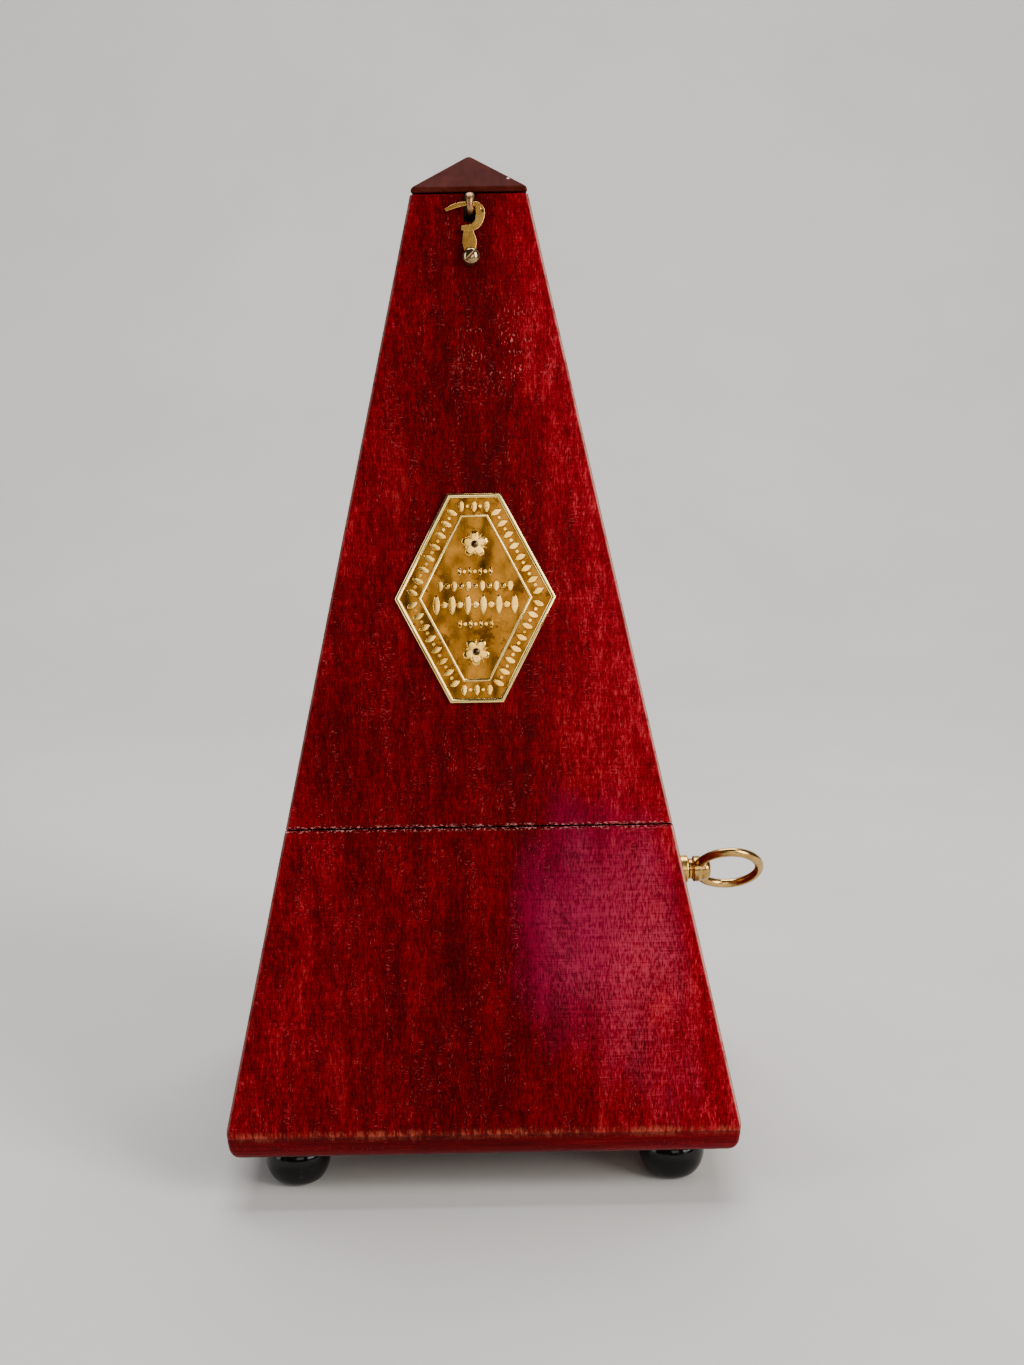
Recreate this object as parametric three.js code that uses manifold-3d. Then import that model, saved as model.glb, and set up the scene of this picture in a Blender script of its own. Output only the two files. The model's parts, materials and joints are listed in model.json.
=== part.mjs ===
// Pyramid metronome with a clockwork movement, as an assembly of separate pieces.
// Millimetres, +Z up. Front faces -Y, the winding key is on +X, and the origin is on the table,
// under the centre of the case.
import * as THREE from 'three';
import { mergeVertices } from 'three/addons/utils/BufferGeometryUtils.js';
import Module from 'manifold-3d';

const wasm = await Module();
wasm.setup();

// ---- Driving dimensions ----------------------------------------------------------------------
const GAP = 0.3; // clearance between pieces that meet
const FOOT_HEIGHT = 10.6;
const FOOT_RADIUS = 7.5;
const FOOT_INSET = 12.6; // from the base board's lower edge to a foot's axis
const UNDERSIDE_HALF = 55.4; // half-width of the base board's underside
const WIDE_HALF = 57.5; // half-width of the case at its widest level
const WIDE_Z = 15.6;
const TOP_HALF = 13.25; // half-width of the case where the cap begins
const TOP_Z = 221.2;
const EAVE_Z = 222.7;
const APEX_Z = 230;
const SEAM_Z = 82.5; // front level where the door ends and the lower panel begins

const FRONT_THICK = 8; // door and lower panel
const WALL = 6; // side and back panels, measured level
const DOOR_SKIN = 3.2; // door thickness left behind its recess
const STILE = 6.5; // width of the door's side rails
const RELIEF_DEPTH = 10.6; // where the sides' upper front edges are, so the rod swings past
const RELIEF_Z = 110;

const KEY_Y = -10; // winding axis
const KEY_Z = 62.7;
const KEY_RING_TILT = THREE.MathUtils.degToRad(-45.8); // the ring's front half stands higher

const ROD_DEPTH = 8.6; // front of the pendulum rod, measured inwards from the front face
const ROD_THICK = 0.8;
const ROD_HALF = 1.6;
const ROD_TOP = 132.5; // along the face, from the seam
const ROD_DOWN = 44; // from the pivot to the rod's lower end

const PLATE_X = 30; // inner faces of the movement's two plates
const PLATE_THICK = 1.2;

// ---- The sloping front face ------------------------------------------------------------------
// Its own frame has x across, y as depth into the case and z as height up the slope, from the seam.
const SLOPE = (WIDE_HALF - TOP_HALF) / (TOP_Z - WIDE_Z);
const LEAN = Math.atan(SLOPE);
const SIN = Math.sin(LEAN);
const COS = Math.cos(LEAN);
const half = (z) => WIDE_HALF - SLOPE * (z - WIDE_Z);
const SEAM_HALF = half(SEAM_Z);
const levelOf = (depth, up) => SEAM_Z + up * COS - depth * SIN;
const upAtLevel = (z, depth) => (z - SEAM_Z + depth * SIN) / COS;
const AXIS_DEPTH = (KEY_Y + SEAM_HALF) * COS - (KEY_Z - SEAM_Z) * SIN;
const AXIS_UP = (KEY_Y + SEAM_HALF) * SIN + (KEY_Z - SEAM_Z) * COS;

// ---- Geometry helpers ------------------------------------------------------------------------
function signedVolume(geometry) {
  const p = geometry.attributes.position;
  const index = geometry.index.array;
  const [a, b, c] = [new THREE.Vector3(), new THREE.Vector3(), new THREE.Vector3()];
  let sum = 0;
  for (let i = 0; i < index.length; i += 3) {
    a.fromBufferAttribute(p, index[i]);
    b.fromBufferAttribute(p, index[i + 1]);
    c.fromBufferAttribute(p, index[i + 2]);
    sum += a.dot(b.cross(c)) / 6;
  }
  return sum;
}

// A closed mesh with shared vertices, no flat triangles and its faces pointing out.
function closed(geometry) {
  const bare = geometry.clone();
  bare.deleteAttribute('normal');
  bare.deleteAttribute('uv');
  const merged = mergeVertices(bare, 1e-4);
  const kept = [];
  const index = merged.index.array;
  for (let i = 0; i < index.length; i += 3) {
    const [a, b, c] = [index[i], index[i + 1], index[i + 2]];
    if (a !== b && b !== c && c !== a) kept.push(a, b, c);
  }
  merged.setIndex(kept);
  if (signedVolume(merged) < 0) {
    for (let i = 0; i < kept.length; i += 3) [kept[i], kept[i + 1]] = [kept[i + 1], kept[i]];
    merged.setIndex(kept);
  }
  return merged;
}

function toSolid(geometry) {
  const shape = closed(geometry);
  return new wasm.Manifold(new wasm.Mesh({
    numProp: 3,
    vertProperties: new Float32Array(shape.attributes.position.array),
    triVerts: new Uint32Array(shape.index.array),
  }));
}

function toGeometry(solid) {
  const { vertProperties, triVerts } = solid.getMesh();
  const geometry = new THREE.BufferGeometry();
  geometry.setAttribute('position', new THREE.BufferAttribute(vertProperties, 3));
  geometry.setIndex(new THREE.BufferAttribute(triVerts, 1));
  return geometry;
}

const cut = (body, ...tools) => toGeometry(
  tools.reduce((solid, tool) => solid.subtract(toSolid(tool)), toSolid(body)));
const join = (body, ...more) => toGeometry(
  more.reduce((solid, other) => solid.add(toSolid(other)), toSolid(body)));
const moved = (geometry, x, y, z) => geometry.clone().translate(x, y, z);

// A six-sided block between two four-cornered rings, each listed anticlockwise from above.
function hexahedron(low, high) {
  const geometry = new THREE.BufferGeometry();
  geometry.setAttribute('position', new THREE.Float32BufferAttribute([...low, ...high].flat(), 3));
  const faces = [0, 2, 1, 0, 3, 2, 4, 5, 6, 4, 6, 7];
  for (let i = 0; i < 4; i += 1) {
    const j = (i + 1) % 4;
    faces.push(i, j, j + 4, i, j + 4, i + 4);
  }
  geometry.setIndex(faces);
  return geometry;
}

function block(x0, x1, y0, y1, z0, z1) {
  const ring = (z) => [[x0, y0, z], [x1, y0, z], [x1, y1, z], [x0, y1, z]];
  return hexahedron(ring(z0), ring(z1));
}

// A board between two levels, whose edges x0, x1, y0 and y1 are functions of the level.
function taperedBoard(z0, z1, x0, x1, y0, y1) {
  const ring = (z) => [[x0(z), y0(z), z], [x1(z), y0(z), z], [x1(z), y1(z), z], [x0(z), y1(z), z]];
  return hexahedron(ring(z0), ring(z1));
}

// A board in the front face's frame, as wide as the case less an inset on each side.
// lowAt and highAt give its ends as heights up the slope, for a depth.
function faceBoard(depth0, depth1, lowAt, highAt, inset) {
  const corner = (side, depth, up) => [side * (half(levelOf(depth, up)) - inset), depth, up];
  const ring = (upAt) => [
    corner(-1, depth0, upAt(depth0)), corner(1, depth0, upAt(depth0)),
    corner(1, depth1, upAt(depth1)), corner(-1, depth1, upAt(depth1)),
  ];
  return hexahedron(ring(lowAt), ring(highAt));
}

// A square-section body through pairs of level and half-width.
function squareLoft(levels) {
  const low = levels.slice(0, -1);
  const parts = low.map(([z, w], i) => {
    const [z1, w1] = levels[i + 1];
    const ring = (level, h) => [[-h, -h, level], [h, -h, level], [h, h, level], [-h, h, level]];
    return hexahedron(ring(z, w), ring(z1, w1));
  });
  return parts.length === 1 ? parts[0] : join(parts[0], ...parts.slice(1));
}

// A turned piece about +Z, from pairs of radius and height.
function turned(profile, segments = 20) {
  const points = profile.map(([r, h]) => new THREE.Vector2(r, h));
  return closed(new THREE.LatheGeometry(points, segments)).rotateX(Math.PI / 2);
}

const polygon = (points) => new THREE.Shape(points.map(([x, y]) => new THREE.Vector2(x, y)));
const extruded = (shape, depth, curveSegments = 10) => new THREE.ExtrudeGeometry(
  shape, { depth, bevelEnabled: false, curveSegments });

// Turns +Z to +X, and the flat outline's x and y to depth and height.
const ALONG_X = new THREE.Matrix4().makeBasis(
  new THREE.Vector3(0, 1, 0), new THREE.Vector3(0, 0, 1), new THREE.Vector3(1, 0, 0));
const alongX = (geometry) => geometry.clone().applyMatrix4(ALONG_X);
// Turns +Z to face out of the front face, and the flat outline's y to height.
const outward = (geometry) => geometry.clone().rotateX(Math.PI / 2);

// A hole-making cylinder.
const drill = (radius, from, to, segments = 16) => turned(
  [[0, from], [radius, from], [radius, to], [0, to]], segments);

// ---- Materials -------------------------------------------------------------------------------
const makeMaterial = (color, roughness, metalness) => () => new THREE.MeshStandardMaterial(
  { color, roughness, metalness });
const MAHOGANY = makeMaterial(0x6a0f0c, 0.35, 0);
const CAP_WOOD = makeMaterial(0x5a2a20, 0.6, 0);
const INNER_WOOD = makeMaterial(0x8a5a34, 0.75, 0);
const EBONISED = makeMaterial(0x0b0b0c, 0.15, 0);
const BRASS = makeMaterial(0xc99a3c, 0.3, 1);
const DARK_BRASS = makeMaterial(0x8a6a34, 0.4, 1);
const STEEL = makeMaterial(0x8c8f94, 0.3, 1);
const LEAD = makeMaterial(0x55585c, 0.6, 0.8);
const PAPER = makeMaterial(0xe9dcb8, 0.7, 0);

const metronome = new THREE.Group();
const face = new THREE.Group();
face.position.set(0, -SEAM_HALF, SEAM_Z);
face.rotation.x = -LEAN;
const winding = new THREE.Group();
winding.position.set(0, KEY_Y, KEY_Z);
metronome.add(face, winding);

function piece(parent, name, geometry, material) {
  const mesh = new THREE.Mesh(closed(geometry), material());
  mesh.name = name;
  mesh.geometry.computeVertexNormals();
  parent.add(mesh);
}

// ---- Case ------------------------------------------------------------------------------------
const BACK_INNER = (z) => half(z) - WALL;
const frontEdge = (depth) => (z) => depth / COS - half(z);
const INNER_INSET = WALL + GAP;

function addBase() {
  const top = WIDE_Z - GAP;
  const board = squareLoft([[FOOT_HEIGHT, UNDERSIDE_HALF], [top, WIDE_HALF - 0.1]]);
  piece(metronome, 'base_board', board, MAHOGANY);
  const foot = turned([
    [0, 0], [3.8, 0], [5.2, 0.8], [6.4, 2.2], [7.2, 4], [FOOT_RADIUS, 5.9], [7.2, 7.6],
    [6.4, 8.9], [5.2, 9.9], [4.4, FOOT_HEIGHT - GAP], [0, FOOT_HEIGHT - GAP]], 18);
  const place = UNDERSIDE_HALF - FOOT_INSET;
  for (const [side, x] of [['left', -place], ['right', place]]) {
    piece(metronome, `foot_front_${side}`, moved(foot, x, -place, 0), EBONISED);
    piece(metronome, `foot_rear_${side}`, moved(foot, x, place, 0), EBONISED);
  }
}

function addPanels() {
  const lower = faceBoard(
    0, FRONT_THICK, (depth) => upAtLevel(WIDE_Z, depth), () => -GAP, 0);
  const lowerRelief = faceBoard(5.4, FRONT_THICK + 1, () => -64, () => -4, 10);
  piece(face, 'front_lower_panel', cut(lower, lowerRelief), MAHOGANY);

  const front = frontEdge(FRONT_THICK + GAP);
  const back = (z) => BACK_INNER(z) - GAP;
  const inner = (z) => half(z) - WALL;
  const right = taperedBoard(WIDE_Z, TOP_Z, inner, half, front, back);
  const relief = taperedBoard(
    RELIEF_Z, TOP_Z + 5, (z) => inner(z) - 2, (z) => half(z) + 2,
    (z) => front(z) - 5, frontEdge(RELIEF_DEPTH));
  const sideBoard = cut(right, relief);
  const mirrored = sideBoard.clone().scale(-1, 1, 1);
  piece(metronome, 'side_panel_left', mirrored, MAHOGANY);
  const keyHole = moved(alongX(drill(BUSHING_RADIUS + GAP, 20, 70, 24)), 0, KEY_Y, KEY_Z);
  piece(metronome, 'side_panel_right', cut(sideBoard, keyHole), MAHOGANY);
  const rear = taperedBoard(WIDE_Z, TOP_Z, (z) => -half(z), half, BACK_INNER, half);
  piece(metronome, 'back_panel', rear, MAHOGANY);
}

const TOP_BLOCK_Z = 200;
const EYE_X = 0.2;
const EYE_UP = 139.3;
const EYE_WIRE = 0.75;

function addTop() {
  const core = taperedBoard(
    TOP_BLOCK_Z, TOP_Z, (z) => INNER_INSET - half(z), (z) => half(z) - INNER_INSET,
    frontEdge(TOP_BLOCK_DEPTH), (z) => BACK_INNER(z) - GAP);
  const eyeHole = outward(drill(EYE_WIRE + GAP, -15, -9, 12))
    .translate(EYE_X, 0, EYE_UP).rotateX(-LEAN).translate(0, -SEAM_HALF, SEAM_Z);
  piece(metronome, 'top_block', cut(core, eyeHole), INNER_WOOD);
  const bottom = TOP_Z + GAP;
  piece(metronome, 'cap', squareLoft([
    [bottom, half(bottom)], [EAVE_Z, half(EAVE_Z)], [APEX_Z - 0.3, 0.9], [APEX_Z, 0.4]]), CAP_WOOD);
}

const TOP_BLOCK_DEPTH = 11.2;
const BOARD_DEPTH = 13.4;

function addScale() {
  const board = faceBoard(BOARD_DEPTH, BOARD_DEPTH + 2.8, () => 13.6, () => 122, INNER_INSET);
  piece(face, 'front_board', board, INNER_WOOD);
  const plateBack = BOARD_DEPTH - GAP;
  const plate = faceBoard(plateBack - 0.8, plateBack, () => 15, () => 121, 11);
  piece(face, 'scale_plate', plate, PAPER);
}

function addRodRest() {
  const front = ROD_DEPTH + ROD_THICK + 0.5;
  const rest = block(-3, 3, front, TOP_BLOCK_DEPTH - GAP, 130.4, 132.9);
  piece(face, 'rod_rest', rest, BRASS);
}

// ---- Latch -----------------------------------------------------------------------------------
const LATCH_X = 0.28;
const LATCH_UP = 127.3;
const HOOK_THICK = 0.7;
const HOOK_STANDOFF = 0.8; // from the door's face to the hook's back

function addEye() {
  const ring = new THREE.TorusGeometry(1.75, EYE_WIRE, 8, 18)
    .rotateY(Math.PI / 2).translate(EYE_X, -1, EYE_UP);
  const shank = outward(drill(EYE_WIRE, -14, -0.6, 10)).translate(EYE_X, 0, EYE_UP);
  piece(face, 'latch_eye', join(ring, shank), DARK_BRASS);
}

// The outline of a flat strip, from its centre line and half-widths.
function stripOutline(stations, steps) {
  const path = new THREE.CatmullRomCurve3(stations.map(([x, y, w]) => new THREE.Vector3(x, y, w)));
  const [left, right] = [[], []];
  for (let i = 0; i <= steps; i += 1) {
    const at = path.getPoint(i / steps);
    const along = path.getTangent(i / steps).setZ(0).normalize();
    left.push([at.x - along.y * at.z, at.y + along.x * at.z]);
    right.push([at.x + along.y * at.z, at.y - along.x * at.z]);
  }
  return polygon([...right, ...left.reverse()]);
}

// A shank up from the screw, and a strip that bends round the eye's side and passes through it.
function hookShape() {
  const tipRadius = EYE_UP - LATCH_UP - 0.05;
  const onTip = (degrees) => {
    const angle = THREE.MathUtils.degToRad(degrees);
    return [-tipRadius * Math.sin(angle), tipRadius * Math.cos(angle)];
  };
  const shank = stripOutline(
    [[0, 0, 1.9], [-0.2, 1.7, 1.36], [-0.3, 3.4, 1.64], [-0.45, 5.4, 1.15], [-0.45, 6.6, 1]], 12);
  const bend = stripOutline([
    [-2.1, 6.5, 0.55], [-0.8, 6.45, 0.75], [0.4, 6.6, 0.85], [1.4, 7.3, 0.95], [2, 8.4, 1],
    [2.2, 9.6, 1.05], [2.1, 10.7, 1.05], [1.55, 11.55, 0.75], [...onTip(-3), 0.55],
    [...onTip(6), 0.5], [...onTip(16), 0.58], [...onTip(28), 0.4],
  ], 34);
  const boss = turned([[0, 0], [2.05, 0], [2.05, HOOK_THICK], [0, HOOK_THICK]], 20);
  return join(boss, extruded(shank, HOOK_THICK), extruded(bend, HOOK_THICK));
}

function addLatch() {
  const hook = cut(hookShape(), drill(1.1, -1, 2, 12));
  piece(face, 'latch_hook',
    outward(hook).translate(LATCH_X, -HOOK_STANDOFF, LATCH_UP), BRASS);
  const under = HOOK_STANDOFF + HOOK_THICK + GAP;
  const screw = turned([
    [0, 1 - DOOR_SKIN], [0.8, 1 - DOOR_SKIN], [0.8, under], [2.05, under], [2.05, under + 0.3],
    [1.7, under + 1], [1, under + 1.4], [0, under + 1.5]], 20);
  const slot = block(-3, 3, -0.25, 0.25, under + 0.9, under + 3).rotateZ(Math.PI / 4);
  piece(face, 'latch_screw', outward(cut(screw, slot)).translate(LATCH_X, 0, LATCH_UP), STEEL);
}

// ---- Door ------------------------------------------------------------------------------------
const DOOR_TOP = upAtLevel(TOP_Z - 0.1, 0);
const BADGE_UP = 51;
const BADGE_HALF = 18.1; // half-width at the middle
const BADGE_END_HALF = 5.95;
const BADGE_RISE = 23.4; // from the centre to the top edge
const PIN_UP = 12; // from the badge's centre to each pin
const PIN_HOLE = 0.8;

function addDoor() {
  const slab = faceBoard(0, FRONT_THICK, () => 0.25, () => DOOR_TOP, 0);
  const recess = faceBoard(DOOR_SKIN, FRONT_THICK + 1, () => 5, () => 133.9, STILE);
  const notch = block(EYE_X - 1.5, EYE_X + 1.5, -1, FRONT_THICK + 1, 135.4, DOOR_TOP + 1);
  const screwHole = outward(drill(1.1, -5, 1, 12)).translate(LATCH_X, 0, LATCH_UP);
  const pinHoles = [1, -1].map((side) => outward(drill(PIN_HOLE, -5, 1, 12))
    .translate(0, 0, BADGE_UP + side * PIN_UP));
  piece(face, 'door_panel', cut(slab, recess, notch, screwHole, ...pinHoles), MAHOGANY);
  const back = FRONT_THICK + GAP;
  for (const [side, x] of [['left', -29], ['right', 14]]) {
    piece(face, `door_tongue_${side}`, block(x, x + 15, back, back + 2.5, -7, 4.7), INNER_WOOD);
  }
}

function addBadge() {
  const outline = polygon([
    [-BADGE_END_HALF, -BADGE_RISE], [BADGE_END_HALF, -BADGE_RISE], [BADGE_HALF, 0],
    [BADGE_END_HALF, BADGE_RISE], [-BADGE_END_HALF, BADGE_RISE], [-BADGE_HALF, 0]]);
  const holes = [1, -1].map((side) => moved(drill(PIN_HOLE, -1, 2, 12), 0, side * PIN_UP, 0));
  const sheet = cut(extruded(outline, 0.9), ...holes);
  piece(face, 'name_plate', outward(sheet).translate(0, -GAP, BADGE_UP), BRASS);
  const head = GAP + 0.9 + 0.2;
  const pin = turned([[0, -2.4], [0.5, -2.4], [0.5, head], [0.95, head], [0.8, head + 0.35],
    [0, head + 0.5]], 12);
  for (const [name, side] of [['top', 1], ['bottom', -1]]) {
    piece(face, `plate_pin_${name}`,
      outward(pin).translate(0, 0, BADGE_UP + side * PIN_UP), DARK_BRASS);
  }
}

// ---- Gear train ------------------------------------------------------------------------------
const GREAT = { teeth: 48, radius: 16.5 };
const SECOND_PINION = { teeth: 8, radius: 2.75 };
const SECOND = { teeth: 40, radius: 12.5 };
const ESCAPE_PINION = { teeth: 8, radius: 2.5 };
const CROWN = { teeth: 15, radius: 8 };
const WHEEL_TOOTH = 0.42; // tooth width at the pitch circle, as a share of the pitch
const PINION_TOOTH = 0.3;

// Axes in the plane of the plates, as depth and height.
const BARREL_AXIS = [AXIS_DEPTH, AXIS_UP];
const ESCAPE_AXIS = [AXIS_DEPTH - 14.5, AXIS_UP];
const SECOND_AXIS = lowerMeeting(
  BARREL_AXIS, GREAT.radius + SECOND_PINION.radius, ESCAPE_AXIS, SECOND.radius + ESCAPE_PINION.radius);

// The lower of the two points at given distances from two points.
function lowerMeeting([ax, ay], ra, [bx, by], rb) {
  const span = Math.hypot(bx - ax, by - ay);
  const along = (ra ** 2 - rb ** 2 + span ** 2) / (2 * span);
  const off = Math.sqrt(ra ** 2 - along ** 2);
  const [ux, uy] = [(bx - ax) / span, (by - ay) / span];
  const candidates = [1, -1].map((s) => [ax + ux * along - s * uy * off, ay + uy * along + s * ux * off]);
  return candidates[0][1] < candidates[1][1] ? candidates[0] : candidates[1];
}

const bearing = ([ax, ay], [bx, by]) => Math.atan2(by - ay, bx - ax);

// A spur wheel's outline, with the middle of one tooth at the given angle.
function gearOutline({ teeth, radius }, share, toothAngle) {
  const size = (2 * radius) / teeth;
  const pitch = (2 * Math.PI) / teeth;
  const [root, tip] = [radius - 1.15 * size, radius + 0.85 * size];
  const flank = [[-0.65 * share, root], [-0.16 * share, tip], [0.16 * share, tip], [0.65 * share, root]];
  const points = [];
  for (let i = 0; i < teeth; i += 1) {
    for (const [turn, r] of flank) {
      const angle = toothAngle + (i + turn) * pitch;
      points.push([r * Math.cos(angle), r * Math.sin(angle)]);
    }
  }
  return polygon(points);
}

// A spur wheel about the X axis, centred on an axis of the train.
function gear(spec, share, toothAngle, [depth, up], x0, x1) {
  return alongX(extruded(gearOutline(spec, share, toothAngle), x1 - x0)).translate(x0, depth, up);
}

const onAxis = (profile, [depth, up], segments) => alongX(turned(profile, segments))
  .translate(0, depth, up);

const DRUM_X = [10, 24];
const DRUM_RADIUS = 14;
const ARBOR_RADIUS = 1.9;

function addBarrel() {
  const towards = bearing(BARREL_AXIS, SECOND_AXIS);
  const teeth = gear(GREAT, WHEEL_TOOTH, towards, BARREL_AXIS, DRUM_X[0] - 2, DRUM_X[0]);
  const wall = DRUM_RADIUS - 1.4;
  const bore = ARBOR_RADIUS + GAP;
  const drum = onAxis([
    [bore, DRUM_X[0] - 0.1], [DRUM_RADIUS, DRUM_X[0] - 0.1], [DRUM_RADIUS, DRUM_X[1]],
    [wall, DRUM_X[1]], [wall, DRUM_X[0] + 1.2], [bore, DRUM_X[0] + 1.2],
    [bore, DRUM_X[0] - 0.1]], BARREL_AXIS, 32);
  const hole = onAxis([[0, 0], [bore, 0], [bore, 12], [0, 12]], BARREL_AXIS, 32);
  piece(face, 'spring_barrel', join(cut(teeth, hole), drum), BRASS);
  const lid = wall - GAP;
  const outer = DRUM_X[1] - 0.2;
  piece(face, 'barrel_cover', onAxis([
    [bore, outer - 1], [lid, outer - 1], [lid, outer], [bore, outer], [bore, outer - 1]],
  BARREL_AXIS, 32), BRASS);
}

const SPRING_X = [DRUM_X[0] + 1.6, DRUM_X[1] - 1.7];

function addMainspring() {
  const [inner, outer, turns, steps] = [4.2, DRUM_RADIUS - 2, 4, 64];
  const edge = (offset) => Array.from({ length: steps + 1 }, (_, i) => {
    const angle = (i / steps) * turns * 2 * Math.PI;
    const r = inner + (outer - inner) * (i / steps) + offset;
    return [r * Math.cos(angle), r * Math.sin(angle)];
  });
  const strip = polygon([...edge(0.25), ...edge(-0.25).reverse()]);
  piece(face, 'mainspring', alongX(extruded(strip, SPRING_X[1] - SPRING_X[0]))
    .translate(SPRING_X[0], ...BARREL_AXIS), STEEL);
}

function addSecondWheel() {
  const end = PLATE_X + PLATE_THICK + 0.2;
  const shoulder = PLATE_X - GAP;
  const rod = onAxis([[0, -end], [1, -end], [1, -shoulder], [1.5, -shoulder], [1.5, shoulder],
    [1, shoulder], [1, end], [0, end]], SECOND_AXIS, 16);
  const pitch = (2 * Math.PI) / SECOND_PINION.teeth;
  const gapAngle = bearing(SECOND_AXIS, BARREL_AXIS) + pitch / 2;
  const leaves = gear(SECOND_PINION, PINION_TOOTH, gapAngle, SECOND_AXIS, 6.5, 11.5);
  piece(face, 'second_arbor', join(rod, leaves), STEEL);
  const wheel = gear(SECOND, WHEEL_TOOTH, bearing(SECOND_AXIS, ESCAPE_AXIS), SECOND_AXIS, -22.8, -21.4);
  const hub = onAxis([[0, -24], [3.2, -24], [3.2, -20.2], [0, -20.2]], SECOND_AXIS, 20);
  const bore = onAxis([[0, -26], [1.8, -26], [1.8, -18], [0, -18]], SECOND_AXIS, 16);
  piece(face, 'second_wheel', cut(join(wheel, hub), bore), BRASS);
}

const POTENCE_X = [-14.6, -13.4];

// A ring of saw teeth about Z, whose tips stand up from a rim.
function crownTeeth(inner, outer, low, root, tip, teeth) {
  const positions = [];
  const faces = [];
  const samples = [[0, tip], [0.12, tip], [0.85, root], [0.97, root]];
  const count = teeth * samples.length;
  for (let i = 0; i < teeth; i += 1) {
    for (const [share, height] of samples) {
      const angle = ((i + share) / teeth) * 2 * Math.PI;
      const [c, s] = [Math.cos(angle), Math.sin(angle)];
      for (const [r, z] of [[outer, low], [outer, height], [inner, height], [inner, low]]) {
        positions.push(r * c, r * s, z);
      }
    }
  }
  for (let i = 0; i < count; i += 1) {
    const next = (i + 1) % count;
    for (let k = 0; k < 4; k += 1) {
      const [a, b] = [i * 4 + k, i * 4 + ((k + 1) % 4)];
      const [c, d] = [next * 4 + ((k + 1) % 4), next * 4 + k];
      faces.push(a, c, b, a, d, c);
    }
  }
  const geometry = new THREE.BufferGeometry();
  geometry.setAttribute('position', new THREE.Float32BufferAttribute(positions, 3));
  geometry.setIndex(faces);
  return geometry;
}

function addEscapement() {
  const end = PLATE_X + PLATE_THICK + 0.2;
  const shoulder = PLATE_X - GAP;
  const rod = onAxis([
    [0, -end], [0.9, -end], [0.9, -shoulder], [1.4, -shoulder], [1.4, POTENCE_X[0] - GAP],
    [0.9, POTENCE_X[0] - GAP], [0.9, POTENCE_X[1] + GAP], [1.4, POTENCE_X[1] + GAP],
    [1.4, -5.4], [0, -5.4]], ESCAPE_AXIS, 16);
  const pitch = (2 * Math.PI) / ESCAPE_PINION.teeth;
  const gapAngle = bearing(ESCAPE_AXIS, SECOND_AXIS) + pitch / 2;
  const leaves = gear(ESCAPE_PINION, PINION_TOOTH, gapAngle, ESCAPE_AXIS, -24.8, -19.2);
  piece(face, 'escape_arbor', join(rod, leaves), STEEL);
  const crown = crownTeeth(
    CROWN.radius - 0.6, CROWN.radius + 0.6, -9, -5.2, -2.4, CROWN.teeth);
  const web = turned([[0, -9], [CROWN.radius + 0.3, -9], [CROWN.radius + 0.3, -7.8], [2.8, -7.8],
    [2.8, -6], [0, -6]], 24);
  const wheel = cut(join(crown, web), drill(1.7, -12, -3, 16));
  piece(face, 'crown_wheel', alongX(wheel).translate(0, ...ESCAPE_AXIS), BRASS);
}

const PIVOT_RADIUS = 0.9;

// The pendulum's own arbor lies along the front face's normal; heights here are minus the depth.
function addVerge() {
  const [head, back, bridge, rear] = [-7.2, -(ROD_DEPTH + ROD_THICK + GAP), -11.2, -33.2];
  const arbor = turned([
    [0, rear], [PIVOT_RADIUS, rear], [PIVOT_RADIUS, rear + 2], [1.4, rear + 2], [1.4, -13.1],
    [PIVOT_RADIUS, -13.1], [PIVOT_RADIUS, bridge], [1.9, bridge], [1.9, back],
    [PIVOT_RADIUS, back], [PIVOT_RADIUS, GAP - ROD_DEPTH], [1.9, GAP - ROD_DEPTH], [1.9, head],
    [0, head]], 16);
  const wheelDepth = ESCAPE_AXIS[0];
  const flag = (depth, angle) => block(0, 1.9, -0.4, 0.4, -depth - 0.7, -depth + 0.7)
    .rotateZ(Math.PI + THREE.MathUtils.degToRad(angle));
  const pallets = [flag(wheelDepth - CROWN.radius, 50), flag(wheelDepth + CROWN.radius, -50)];
  piece(face, 'verge_arbor', outward(join(arbor, ...pallets)).translate(0, 0, AXIS_UP), STEEL);
}

// ---- Movement frame --------------------------------------------------------------------------
const FRAME = { front: 13, rear: 58, low: -44, high: 8 };
const PILLARS = [[FRAME.front + 2.5, -41.5], [FRAME.rear - 3.5, -41.5],
  [FRAME.rear - 3.5, 5], [FRAME.front + 4, 5]];
const CLICK_PIVOT = [10, -9.5]; // from the winding axis, to the rear and up

function plateOutline() {
  const { front, rear, low, high } = FRAME;
  const corner = 3;
  return polygon([[front + corner, low], [rear - corner, low], [rear, low + corner],
    [rear, high - corner], [rear - corner, high], [front + corner, high],
    [front, high - corner], [front, low + corner]]);
}

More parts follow.
